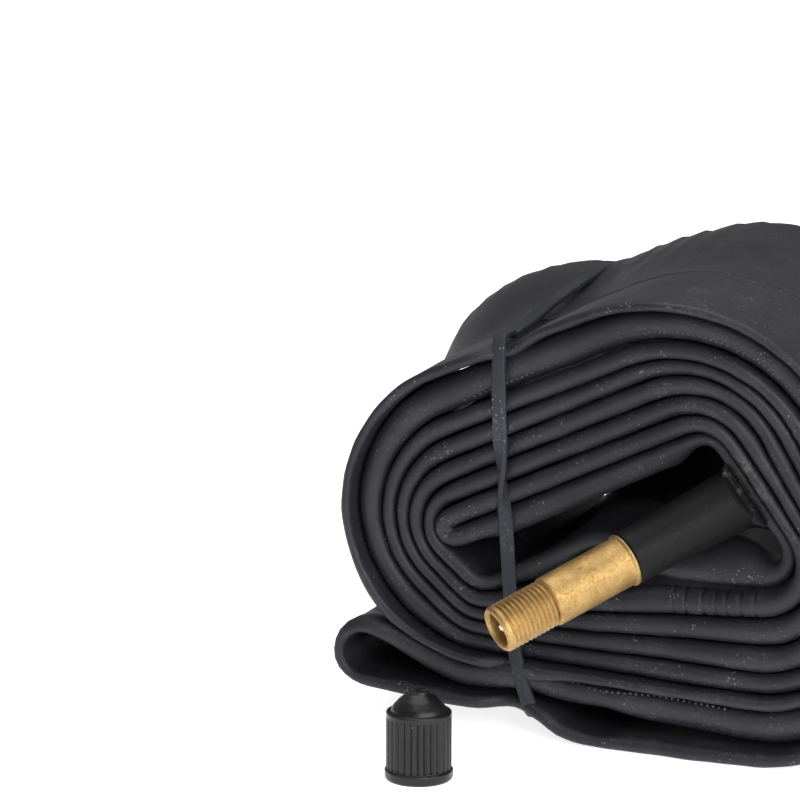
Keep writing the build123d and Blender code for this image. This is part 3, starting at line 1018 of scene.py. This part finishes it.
# ------------------------------------------------------------------ turned pieces
def rounded_profile(corners: list[Pair], step: float = 0.6, ease: float = 0.12) -> np.ndarray:
    """Profile points with each corner cut by a small bevel and long runs divided.

    Args:
        corners: Radius and height of each corner, in millimetres.
        step: Longest stretch between points.
        ease: Size of the bevel.

    Returns:
        Points along the profile.
    """
    corners = [np.array(c, float) for c in corners]
    points = [corners[0]]
    for before, here, after in zip(corners, corners[1:], corners[2:]):
        cuts = []
        for other in (before, after):
            reach = max(np.linalg.norm(other - here), 1e-9)
            cuts.append(here + (other - here) / reach * min(ease, reach * 0.4))
        points += [cuts[0], (cuts[0] + cuts[1]) * 0.29 + here * 0.42, cuts[1]]
    points.append(corners[-1])
    filled = [points[0]]
    for start, end in zip(points, points[1:]):
        parts = max(1, int(np.ceil(np.linalg.norm(end - start) / step)))
        filled += [start + (end - start) * (k + 1) / parts for k in range(parts)]
    return np.array(filled)


def turned_shell(name: str, profile: np.ndarray, sides: int) -> Piece:
    """Turns up a shell ring by ring from a circle, upright on the origin.

    Args:
        name: Name of the new piece.
        profile: Radius and height of each ring in millimetres; a last radius of 0 closes it.
        sides: Faces round the shell.

    Returns:
        The open or closed shell, left in object mode.
    """
    deselect()
    radius, height = profile[0]
    bpy.ops.mesh.primitive_circle_add(vertices=sides, radius=radius * MM, location=(0, 0, height * MM))
    shell = bpy.context.object
    shell.name = shell.data.name = name
    bpy.ops.object.transform_apply(location=True, rotation=True, scale=True)
    bpy.ops.object.mode_set(mode="EDIT")
    bpy.ops.mesh.select_all(action="SELECT")
    for next_radius, next_height in profile[1:]:
        rise = (next_height - height) * MM
        bpy.ops.mesh.extrude_region_move(TRANSFORM_OT_translate={"value": (0, 0, rise)})
        if next_radius < 1e-6:
            bpy.ops.mesh.merge(type="CENTER")
            break
        ratio = next_radius / radius
        bpy.ops.transform.resize(value=(ratio, ratio, 1), center_override=(0, 0, next_height * MM))
        radius, height = next_radius, next_height
    bpy.ops.object.mode_set(mode="OBJECT")
    return shell


def select_vertices(obj: Piece, wanted: Callable[[np.ndarray], np.ndarray]) -> None:
    """Selects vertices by their place, with the object in edit mode before and after.

    Args:
        obj: The object being edited.
        wanted: Takes places in millimetres, returns which are wanted.
    """
    bpy.ops.mesh.select_mode(type="VERT")
    bpy.ops.mesh.select_all(action="DESELECT")
    bpy.ops.object.mode_set(mode="OBJECT")
    flat = np.empty(len(obj.data.vertices) * 3)
    obj.data.vertices.foreach_get("co", flat)
    obj.data.vertices.foreach_set("select", wanted(flat.reshape(-1, 3) / MM))
    bpy.ops.object.mode_set(mode="EDIT")


def select_border(obj: Piece, height: float | None = None) -> None:
    """Selects open border edges, in edit mode.

    Args:
        obj: The object being edited.
        height: Height of the wanted border in millimetres, or None for every border.
    """
    bpy.ops.mesh.select_mode(type="EDGE")
    bpy.ops.mesh.select_all(action="DESELECT")
    bpy.ops.mesh.select_non_manifold(extend=False, use_wire=False, use_multi_face=False, use_verts=False)
    if height is None:
        return
    bpy.ops.object.mode_set(mode="OBJECT")
    vertices, edges = obj.data.vertices, obj.data.edges
    level = {v.index for v in vertices if abs(v.co.z / MM - height) < 1e-3}
    border = [edge for edge in edges if edge.select and level.issuperset(edge.vertices)]
    for group in (vertices, edges):
        group.foreach_set("select", [False] * len(group))
    for edge in border:
        edge.select = True
        for v in edge.vertices:
            vertices[v].select = True
    bpy.ops.object.mode_set(mode="EDIT")


def grow_rings(obj: Piece, height: float, profile: np.ndarray) -> None:
    """Continues an upright open shell from its border, in edit mode; the first new ring is made round.

    Args:
        obj: The shell.
        height: Height of the border to grow from, in millimetres.
        profile: Radius and height of each new ring.
    """
    select_border(obj, height)
    radius = 0.0
    for next_radius, next_height in profile:
        bpy.ops.mesh.extrude_region_move(TRANSFORM_OT_translate={"value": (0, 0, (next_height - height) * MM)})
        if radius:
            ratio = next_radius / radius
            bpy.ops.transform.resize(value=(ratio, ratio, 1), center_override=(0, 0, next_height * MM))
        else:
            bpy.ops.object.mode_set(mode="OBJECT")
            for vertex in obj.data.vertices:
                if vertex.select:
                    ratio = next_radius * MM / vertex.co.xy.length
                    vertex.co.xy = vertex.co.xy * ratio
            bpy.ops.object.mode_set(mode="EDIT")
        radius, height = next_radius, next_height


def close_shell(obj: Piece, crisp: float = 40.0) -> None:
    """Welds meeting rings, turns faces outwards and shades the piece smooth.

    Args:
        obj: The piece.
        crisp: Angle in degrees from which an edge stays crisp.
    """
    select_only(obj)
    bpy.ops.object.mode_set(mode="EDIT")
    bpy.ops.mesh.select_all(action="SELECT")
    bpy.ops.mesh.remove_doubles(threshold=1e-6)
    bpy.ops.mesh.normals_make_consistent(inside=False)
    bpy.ops.object.mode_set(mode="OBJECT")
    bpy.ops.object.shade_smooth_by_angle(angle=radians(crisp))


def lay_on_axis(obj: Piece, base: np.ndarray, axis: np.ndarray) -> None:
    """Turns an upright piece onto an axis and applies it.

    Args:
        obj: The piece.
        base: Where its foot goes, in millimetres.
        axis: The axis that it stands along.
    """
    select_only(obj)
    obj.rotation_mode = "QUATERNION"
    obj.rotation_quaternion = Vector(axis).to_track_quat("Z", "Y")
    obj.location = Vector(base) * MM
    bpy.ops.object.transform_apply(location=True, rotation=True, scale=True)
    obj.rotation_mode = "XYZ"


def radius_of(places: np.ndarray) -> np.ndarray:
    """Distance of places from the upright axis."""
    return np.hypot(places[:, 0], places[:, 1])


# ------------------------------------------------------------------ valve
@dataclass
class Valve:
    """Rubber sleeve, threaded brass stem and the visible end of the core's pin, in millimetres."""

    base: np.ndarray
    axis: np.ndarray
    wall_normal: np.ndarray
    length: float = 48.4
    brass: float = 24.2
    thread: float = 9.6
    pitch: float = 0.794
    thread_radius: float = 3.85
    thread_depth: float = 0.44
    shank_radius: float = 4.05
    tail_radius: float = 3.2
    collar_radius: float = 4.38
    sleeve_radius: float = 4.4
    base_radius: float = 4.95
    bore_radius: float = 1.75
    core_bore: float = 2.2
    core_thread: float = 2.7
    mouth_radius: float = 3.0
    foot: float = 6.0
    foot_radius: float = 4.3
    sleeve_foot: float = -7.0
    sleeve_grain: float = 0.03
    wall_inset: float = 0.25
    pin_radius: float = 0.45
    pin_head: float = 0.7
    pin_foot: float = 18.96
    spring_foot: float = 16.97
    spring_length: float = 9.6
    sides: int = 96

    def sleeve(self) -> Piece:
        """Models the rubber sleeve, flared where it joins the wall, with a thin rolled end at the brass.

        Returns:
            The finished piece.
        """
        bare = self.length - self.brass
        r, b = self.sleeve_radius, self.base_radius
        outline = rounded_profile([
            (self.tail_radius, bare), (r - 0.1, bare - 0.05), (r + 0.05, bare - 0.8), (r, 20.0), (r + 0.12, 14.0),
            (b - 0.15, 8.0), (b + 0.1, 3.6), (b + 0.6, 1.9), (b + 1.5, 0.8), (b + 1.7, self.sleeve_foot),
            (0, self.sleeve_foot)], step=0.9, ease=0.3)
        piece = turned_shell("valve_sleeve_skin", outline, self.sides)
        bpy.ops.object.mode_set(mode="EDIT")
        select_border(piece)
        bpy.ops.mesh.edge_face_add()
        bpy.ops.object.mode_set(mode="OBJECT")
        close_shell(piece, 60)
        lay_on_axis(piece, self.base, self.axis)
        bpy.ops.object.mode_set(mode="EDIT")
        select_vertices(piece, lambda places: (places - self.base) @ self.axis > 3)
        bpy.ops.transform.vertex_random(offset=self.sleeve_grain * MM, seed=4)
        bpy.ops.mesh.select_all(action="SELECT")
        plane = Vector(self.base * MM) + Vector(self.wall_normal) * (self.wall_inset * MM)
        bpy.ops.mesh.bisect(
            plane_co=plane, plane_no=self.wall_normal, use_fill=True, clear_inner=True, threshold=FINE_CUT)
        bpy.ops.object.mode_set(mode="OBJECT")
        close_shell(piece, 60)
        return piece

    def thread_shell(self, low: float, high: float) -> Piece:
        """Winds up one ridge as a helical thread and trims it flat at both ends.

        Args:
            low: Height of the thread's lower end.
            high: Height of its upper end.

        Returns:
            The open shell, upright on the origin.
        """
        deselect()
        crest, root, pitch = self.thread_radius, self.thread_radius - self.thread_depth, self.pitch
        ridge = [
            (0.07, crest), (0.13, crest - 0.03), (0.38, root + 0.03), (0.46, root), (0.54, root), (0.62, root + 0.03),
            (0.87, crest - 0.03), (0.93, crest), (1.07, crest)]
        start = low - 1.5 * pitch
        bpy.ops.mesh.primitive_plane_add(size=0.001)
        piece = bpy.context.object
        piece.name = piece.data.name = "stem_thread"
        bpy.ops.object.mode_set(mode="EDIT")
        bpy.ops.mesh.merge(type="CENTER")
        share, radius = ridge[0]
        bpy.ops.transform.translate(value=(radius * MM, 0, (start + share * pitch) * MM))
        for next_share, next_radius in ridge[1:]:
            step = ((next_radius - radius) * MM, 0, (next_share - share) * pitch * MM)
            bpy.ops.mesh.extrude_region_move(TRANSFORM_OT_translate={"value": step})
            share, radius = next_share, next_radius
        bpy.ops.object.mode_set(mode="OBJECT")
        winding = piece.modifiers.new("winding", "SCREW")
        winding.axis, winding.screw_offset = "Z", pitch * MM
        winding.iterations = int((high - low) / pitch) + 4
        winding.steps = winding.render_steps = self.sides
        winding.use_merge_vertices, winding.merge_threshold = False, 0.0
        bpy.ops.object.modifier_apply(modifier=winding.name)
        bpy.ops.object.mode_set(mode="EDIT")
        bpy.ops.mesh.select_all(action="SELECT")
        bpy.ops.mesh.remove_doubles(threshold=2e-6)
        bpy.ops.mesh.bisect(plane_co=(0, 0, low * MM), plane_no=(0, 0, 1), clear_inner=True, threshold=FINE_CUT)
        bpy.ops.mesh.select_all(action="SELECT")
        bpy.ops.mesh.bisect(plane_co=(0, 0, high * MM), plane_no=(0, 0, 1), clear_outer=True, threshold=FINE_CUT)
        bpy.ops.object.mode_set(mode="OBJECT")
        return piece

    def stem(self) -> Piece:
        """Models the brass stem, with a real helical thread outside and its stepped bore inside.

        Returns:
            The finished piece.
        """
        bare, mouth, foot, wide_foot = self.length - self.brass, self.length, self.foot, self.foot_radius
        low, high = mouth - self.thread + 0.25, mouth - 1.15
        land = self.thread_radius - 0.05
        shank, tail, collar = self.shank_radius, self.tail_radius, self.collar_radius
        lip, room, seat, bore = self.mouth_radius, self.core_thread, self.core_bore, self.bore_radius
        stem = self.thread_shell(low, high)
        stem.name = stem.data.name = "valve_stem_threaded"
        bpy.ops.object.mode_set(mode="EDIT")
        grow_rings(stem, low, rounded_profile([
            (self.thread_radius - 0.12, low - 0.12), (shank, low - 0.45), (shank, bare + 1.2),
            (shank + 0.04, bare + 0.62), (collar, bare + 0.34), (collar, bare + 0.02), (tail, bare),
            (tail, foot + 0.8), (wide_foot, foot + 0.8), (wide_foot, foot)], ease=0.08))
        grow_rings(stem, high, rounded_profile([
            (land, high + 0.12), (land, mouth - 0.5), (land - 0.28, mouth - 0.12), (land - 0.5, mouth),
            (lip + 0.12, mouth), (lip, mouth - 0.05), (room, mouth - 0.5), (room, mouth - 8.2), (seat, mouth - 8.7),
            (seat, mouth - 11.8), (bore, mouth - 13.4), (bore, foot)], ease=0.08))
        select_border(stem)
        bpy.ops.mesh.bridge_edge_loops()
        bpy.ops.object.mode_set(mode="OBJECT")
        close_shell(stem, 38)
        lay_on_axis(stem, self.base, self.axis)
        return stem

    def pin(self) -> Piece:
        """Models the core pin with its domed, slightly upset head.

        Returns:
            The finished piece.
        """
        top, foot, r = self.length - self.pin_head, self.length - self.pin_foot, self.pin_radius
        side = rounded_profile([
            (r, foot), (r, top - 0.75), (0.62, top - 0.55), (0.66, top - 0.3), (0.55, top - 0.1), (0.3, top - 0.01)],
            step=1.5, ease=0.06)
        pin = turned_shell("core_pin_domed", np.vstack([side, [(0, top)]]), 32)
        bpy.ops.object.mode_set(mode="EDIT")
        select_vertices(pin, lambda places: places[:, 2] < foot + 1e-3)
        bpy.ops.mesh.edge_face_add()
        bpy.ops.object.mode_set(mode="OBJECT")
        close_shell(pin)
        lay_on_axis(pin, self.base, self.axis)
        return pin


def merged_copy(source: Piece, name: str) -> Piece:
    """Copies a CAD piece and welds its loose triangles.

    Args:
        source: The CAD piece.
        name: Name of the copy.

    Returns:
        The smooth-shaded copy.
    """
    piece = bpy.data.objects.new(name, source.data.copy())
    bpy.context.collection.objects.link(piece)
    close_shell(piece, 50)
    return piece


# ------------------------------------------------------------------ rubber band
@dataclass
class RubberBand:
    """Flat rubber band round the roll, turned over once in front, in millimetres."""

    front: float
    back: float
    shift: np.ndarray
    width: float = 2.3
    thick: float = 1.0
    squareness: float = 0.35
    samples: int = 420
    round_steps: int = 20

    def path(self) -> np.ndarray:
        """Rounds the corners of the band's way round the roll.

        Returns:
            Evenly spaced points of the band's middle.
        """
        f, b = self.front, self.back
        corners = [
            (-18.9, f - 0.2, 31.0), (-18.75, f - 0.75, 25.0), (-18.6, f - 0.75, 18.0), (-18.3, f - 0.7, 11.5),
            (-17.8, f - 0.7, 5.0), (-17.1, f - 0.65, -3.0), (-16.6, f - 0.65, -11.0), (-16.0, f - 0.7, -19.0),
            (-14.6, f - 0.85, -24.6), (-13.1, f - 0.55, -29.2), (-12.6, f + 1.0, -30.9), (-12.5, f + 8.0, -31.0),
            (-12.6, 0, -31.0), (-13.0, b - 8.0, -31.0), (-13.2, b + 0.1, -30.6), (-13.6, b + 1.2, -27.4),
            (-15.0, b + 1.3, -12.0), (-17.0, b + 1.4, 6.0), (-19.6, b + 1.6, 22.0), (-21.0, b + 1.4, 30.0),
            (-21.6, b + 0.2, 32.4), (-21.5, b - 4.0, 32.6), (-21.0, 16.0, 31.7), (-20.4, 4.0, 30.6),
            (-19.8, -10.0, 30.3), (-19.2, f + 6.0, 31.2), (-19.0, f + 1.2, 31.6),
        ]
        points = np.array(corners)
        for _ in range(4):
            following = np.roll(points, -1, axis=0)
            cuts = [0.75 * points + 0.25 * following, 0.25 * points + 0.75 * following]
            points = np.stack(cuts, axis=1).reshape(-1, 3)
        closed = np.vstack([points, points[:1]])
        distance = np.concatenate([[0], np.cumsum(np.linalg.norm(np.diff(closed, axis=0), axis=1))])
        wanted = np.linspace(0, distance[-1], self.samples, endpoint=False)
        self.along = wanted
        return np.stack([np.interp(wanted, distance, closed[:, k]) for k in range(3)], axis=-1)

    def build(self) -> Piece:
        """Models the band as a flat rounded section that turns over once.

        Returns:
            The finished piece.
        """
        path = self.path()
        tangents = directions(path)
        across = np.array([1.0, 0, 0]) - tangents * tangents[:, :1]
        across /= np.linalg.norm(across, axis=1)[:, None]
        outward = np.cross(tangents, across)
        in_front = (path[:, 1] < self.front + 0.4) & (path[:, 2] < 31)
        height = path[:, 2]
        turned_over = smooth_step((18.0 - height) / 24.0)
        twist = np.where(in_front, pi * turned_over, 0.0) + np.where(in_front, 0.22 * np.sin(height / 4.1), 0.0)
        twist = np.where(~in_front & (height < 0), pi, twist)
        release = smooth_step((height + 28.0) / 50.0)
        rising = (path[:, 1] > self.back - 0.5) & (height > -28.5)
        twist = softened(np.where(rising, pi * (1 - release), twist))
        angles = np.linspace(0, 2 * pi, self.round_steps + 1)[:-1]
        wide = np.sign(np.cos(angles)) * np.abs(np.cos(angles)) ** self.squareness * self.width / 2
        deep = np.sign(np.sin(angles)) * np.abs(np.sin(angles)) ** self.squareness * self.thick / 2
        side = np.cos(twist)[:, None] * across + np.sin(twist)[:, None] * outward
        face = -np.sin(twist)[:, None] * across + np.cos(twist)[:, None] * outward
        uneven = 1 + 0.05 * ripple(self.along, (13.0, 7.7, 31.0), 21)
        cloud = path[:, None] + side[:, None] * (wide[None] * uneven[:, None])[..., None]
        cloud = (cloud + face[:, None] * deep[None, :, None] + self.shift) * MM
        count = len(path)
        return wrapped_grid(
            "rubber_band_loop", count, self.round_steps, lambda i, k: cloud[i % count, k % self.round_steps])


# ------------------------------------------------------------------ cap
@dataclass
class ValveCap:
    """Ribbed dust cap, open at the bottom, in millimetres."""

    foot: np.ndarray
    height: float = 14.3
    body_radius: float = 4.84
    rib_depth: float = 0.31
    ribs: int = 28
    rim_radius: float = 5.4
    rim_height: float = 1.7
    ribs_top: float = 10.1
    collar_top: float = 11.0
    nub_radius: float = 1.65
    gate_grain: float = 0.06
    bore_radius: float = 3.9
    sides_per_rib: int = 8
    valley_steps: tuple[Pair, ...] = ((-0.1, 0.35), (0.45, 0.35), (0.9, 0.30))

    def outline(self) -> np.ndarray:
        """Rings from the bore's edge, round the rim, up the outside and over the gate mark.

        Returns:
            Radius and height of each ring.
        """
        rim, body, top, step = self.rim_radius, self.body_radius + self.rib_depth, self.height, self.collar_top
        outside = rounded_profile([
            (self.bore_radius, 0.35), (self.bore_radius + 0.35, 0), (rim - 0.3, 0), (rim - 0.04, 0.35),
            (rim, self.rim_height - 0.15), (rim - 0.2, self.rim_height), (body - 0.12, self.rim_height + 0.06),
            (body, self.rim_height + 0.3), (body, self.ribs_top - 0.1), (5.13, self.ribs_top + 0.1),
            (5.15, step - 0.15), (4.93, step), (4.36, step + 0.02), (4.28, step + 0.42), (4.02, step + 0.85),
            (3.1, step + 1.85), (2.1, step + 2.65), (self.nub_radius, top - 0.42), (self.nub_radius - 0.05, top - 0.1),
            (self.nub_radius - 0.3, top - 0.02), (0.7, top - 0.07)], step=0.35, ease=0.1)
        return np.vstack([outside, [(0, top - 0.08)]])

    def in_valley(self, limit: float, low: float, high: float, places: np.ndarray) -> np.ndarray:
        """Finds the part of the outside between two ribs.

        Args:
            limit: How near a valley's middle a place has to be, from -1 for all of it to 1.
            low: Foot of the ribs.
            high: Top of the ribs.
            places: Places to try.

        Returns:
            Which places are in a valley.
        """
        wave = -np.cos(np.arctan2(places[:, 1], places[:, 0]) * self.ribs)
        walled = np.abs(radius_of(places) - self.body_radius - self.rib_depth) < self.rib_depth + 0.06
        return (wave > limit) & walled & (places[:, 2] > low) & (places[:, 2] < high)

    def build(self) -> Piece:
        """Models the cap: its turned outside, the valleys pressed in between its ribs, then its bore.

        Returns:
            The finished piece.
        """
        cap = turned_shell("dust_cap", self.outline(), self.ribs * self.sides_per_rib)
        low, high = self.rim_height + 0.28, self.ribs_top - 0.02
        middle = (0, 0, (low + high) / 2 * MM)
        bpy.ops.object.mode_set(mode="EDIT")
        for limit, share in self.valley_steps:
            select_vertices(cap, partial(self.in_valley, limit, low, high))
            ratio = 1 - share * self.rib_depth / self.body_radius
            bpy.ops.transform.resize(value=(ratio, ratio, 1), center_override=middle)
        top = self.height - 0.35
        select_vertices(cap, lambda places: (places[:, 2] > top) & (radius_of(places) < self.nub_radius))
        bpy.ops.transform.vertex_random(offset=self.gate_grain * MM, seed=8)
        bpy.ops.object.mode_set(mode="OBJECT")
        r = self.bore_radius
        inside = rounded_profile([(r, 0.35), (r, 9.0), (0.8, 10.6)], step=0.9, ease=0.2)
        bore = turned_shell("dust_cap_bore", np.vstack([inside, [(0, 10.8)]]), self.ribs * self.sides_per_rib)
        deselect()
        bore.select_set(True)
        cap.select_set(True)
        bpy.context.view_layer.objects.active = cap
        bpy.ops.object.join()
        close_shell(cap, 50)
        lay_on_axis(cap, self.foot, np.array([0.0, 0.0, 1.0]))
        return cap


# ------------------------------------------------------------------ studio
@dataclass
class Studio:
    """Camera, plain floor and soft light round the roll's middle, in metres unless a size says otherwise."""

    middle_mm: np.ndarray
    camera_offset_mm: Triple = (223.301, -672.671, 173.203)
    camera_turn: Triple = (radians(77.5), 0.0, radians(22.0))
    lens: float = 198.45
    sensor: float = 36.0
    floor_size: float = 12.0
    aim: Triple = (0.0, 0.0, 0.03)
    lamps: tuple[tuple[str, Triple, float, float], ...] = (
        ("overhead_soft", (-0.05, 0.05, 0.85), 0.75, 4.6),
        ("front_right_soft", (0.58, -0.82, 0.50), 0.5, 6.2),
        ("right_fill", (0.80, -0.30, 0.35), 0.5, 4.2))
    surroundings: float = 0.26

    def area_light(self, name: str, place: Triple, size: float, power: float) -> None:
        """Adds a square soft light that faces the roll.

        Args:
            name: Name of the light.
            place: Where it stands.
            size: Length of its sides.
            power: Its power in watts.
        """
        deselect()
        bpy.ops.object.light_add(type="AREA", location=place)
        light = bpy.context.object
        light.name = name
        light.data.size, light.data.energy = size, power
        light.rotation_euler = (Vector(self.aim) - Vector(place)).to_track_quat("-Z", "Y").to_euler()

    def build(self) -> None:
        """Sets the camera, the floor, the lights and the pale surroundings."""
        deselect()
        place = tuple((self.middle_mm + np.array(self.camera_offset_mm)) * MM)
        bpy.ops.object.camera_add(location=place, rotation=self.camera_turn)
        camera = bpy.context.object
        camera.data.lens, camera.data.sensor_width = self.lens, self.sensor
        camera.data.clip_start = 0.05
        bpy.context.scene.camera = camera
        deselect()
        bpy.ops.mesh.primitive_plane_add(size=self.floor_size)
        floor = bpy.context.object
        floor.name = "floor"
        dress(floor, FloorFinish().material())
        for lamp in self.lamps:
            self.area_light(*lamp)
        world = bpy.data.worlds.new("pale_room")
        world.use_nodes = True
        background = world.node_tree.nodes["Background"]
        background.inputs["Color"].default_value = (1, 1, 1, 1)
        background.inputs["Strength"].default_value = self.surroundings
        bpy.context.scene.world = world
        bpy.context.scene.view_settings.view_transform = "Standard"


# ------------------------------------------------------------------ assembly
def keep(piece: Piece, body: str, slot: str, material: Material, *nodes: str) -> None:
    """Dresses a new piece, lets it ride on its body and stand for its CAD nodes, and reports it.

    Args:
        piece: The new piece.
        body: Body that it rides.
        slot: Not used.
        material: Its finish.
        *nodes: CAD nodes that it stands for.
    """
    dress(piece, material)
    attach(piece, body)
    if nodes:
        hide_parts(*nodes)
    log.info("%s: %d faces on %s", piece.name, len(piece.data.polygons), body)


def main() -> None:
    """Builds every piece round the frame."""
    logging.basicConfig(level=logging.INFO, format="%(name)s %(message)s")
    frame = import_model()
    boxes = np.array([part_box(node) for node in TUBE_NODES]) / MM
    low, high = boxes[:, 0].min(axis=0), boxes[:, 1].max(axis=0)
    front, back = low[1], high[1]
    route = RollRoute()
    reach = route.outer_hairpin[1] - route.outer_hairpin[0][0] + route.strand / 2
    centre = np.array([low[0] + reach, 0.0, low[2] + route.bottoms[-1] + route.strand / 2])
    Studio(centre + np.array([0.0, (front + back) / 2, 0.0])).build()
    tube = RolledTube(route, front, back, centre)
    joints = {joint["name"]: joint for joint in frame["joints"]}
    turn = joints["core_plug_turn"]
    axis = np.array(turn["axis"])
    base = np.array(turn["pos_m"]) / MM - axis * Valve.length
    run = route.heading(route.bends[1], route.bends[2])
    valve = Valve(base, axis, np.array([sin(run), 0.0, -cos(run)]))

    residue_at = tuple((base - np.array([0.0, 3.5, 0.0])) * MM)
    rubber = RubberFinish("butyl_rubber", residue_at=residue_at).material()
    sleeve_rubber = RubberFinish(
        "sleeve_rubber", dark=(0.0035, 0.0035, 0.0035), light=(0.0075, 0.0075, 0.0075), speck_share=0.05,
        smooth=0.42, rough=0.6, gloss=0.14, scuff=0.03).material()
    band_rubber = RubberFinish(
        "band_rubber", dark=(0.012, 0.013, 0.017), light=(0.030, 0.032, 0.040), speck_share=0.7,
        smooth=0.5, rough=0.66, grain=0.00009, gloss=0.25).material()
    seal_rubber = RubberFinish(
        "seal_rubber", dark=(0.16, 0.015, 0.01), light=(0.26, 0.03, 0.02), speck_share=0).material()
    brass = MetalFinish("stem_brass").material()
    core_brass = MetalFinish("core_brass", bright=(0.70, 0.46, 0.20), dull=(0.38, 0.22, 0.08)).material()
    steel = MetalFinish(
        "pin_steel", bright=(0.86, 0.85, 0.83), dull=(0.62, 0.60, 0.57), pit=(0.35, 0.33, 0.3), smooth=0.14,
        rough=0.28).material()

    keep(tube.build(), "tube_roll", "butyl_rubber", rubber, *TUBE_NODES)
    dusty_rubber = RubberFinish(
        "talc_dusted_rubber", dark=(0.015, 0.015, 0.017), light=(0.06, 0.06, 0.062), speck_share=0.6).material()
    keep(tube.pips(), "tube_roll", "butyl_rubber", dusty_rubber)
    keep(valve.sleeve(), "tube_roll", "sleeve_rubber", sleeve_rubber, "valve_sleeve")
    keep(valve.stem(), "tube_roll", "stem_brass", brass, "valve_stem")
    keep(valve.pin(), "plunger", "pin_steel", steel, "core_pin")
    coil = merged_copy(frame["nodes"]["core_spring"], "core_spring_coil")
    keep(coil, "core", "spring_steel", steel, "core_spring")
    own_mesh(coil)
    keep(RubberBand(front, back, centre).build(), "rubber_band", "band_rubber", band_rubber, "rubber_band")
    cap_low, cap_high = (np.array(corner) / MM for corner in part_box("valve_cap"))
    foot = np.array([(cap_low[0] + cap_high[0]) / 2, (cap_low[1] + cap_high[1]) / 2, cap_low[2]])
    keep(ValveCap(foot).build(), "valve_cap", "cap_plastic", PlasticFinish("cap_plastic").material(), "valve_cap")

    carried = {
        "valve_base_patch": PatchFinish("patch_rubber").material(), "core_plug": core_brass,
        "core_barrel": core_brass, "core_cup": core_brass, "core_spring_seat": core_brass,
        "core_gasket": seal_rubber, "core_cup_seal": seal_rubber,
    }
    for node, material in carried.items():
        dress(frame["nodes"][node], material)
        log.info("%s: kept from the frame", node)


if __name__ == "__main__":
    main()
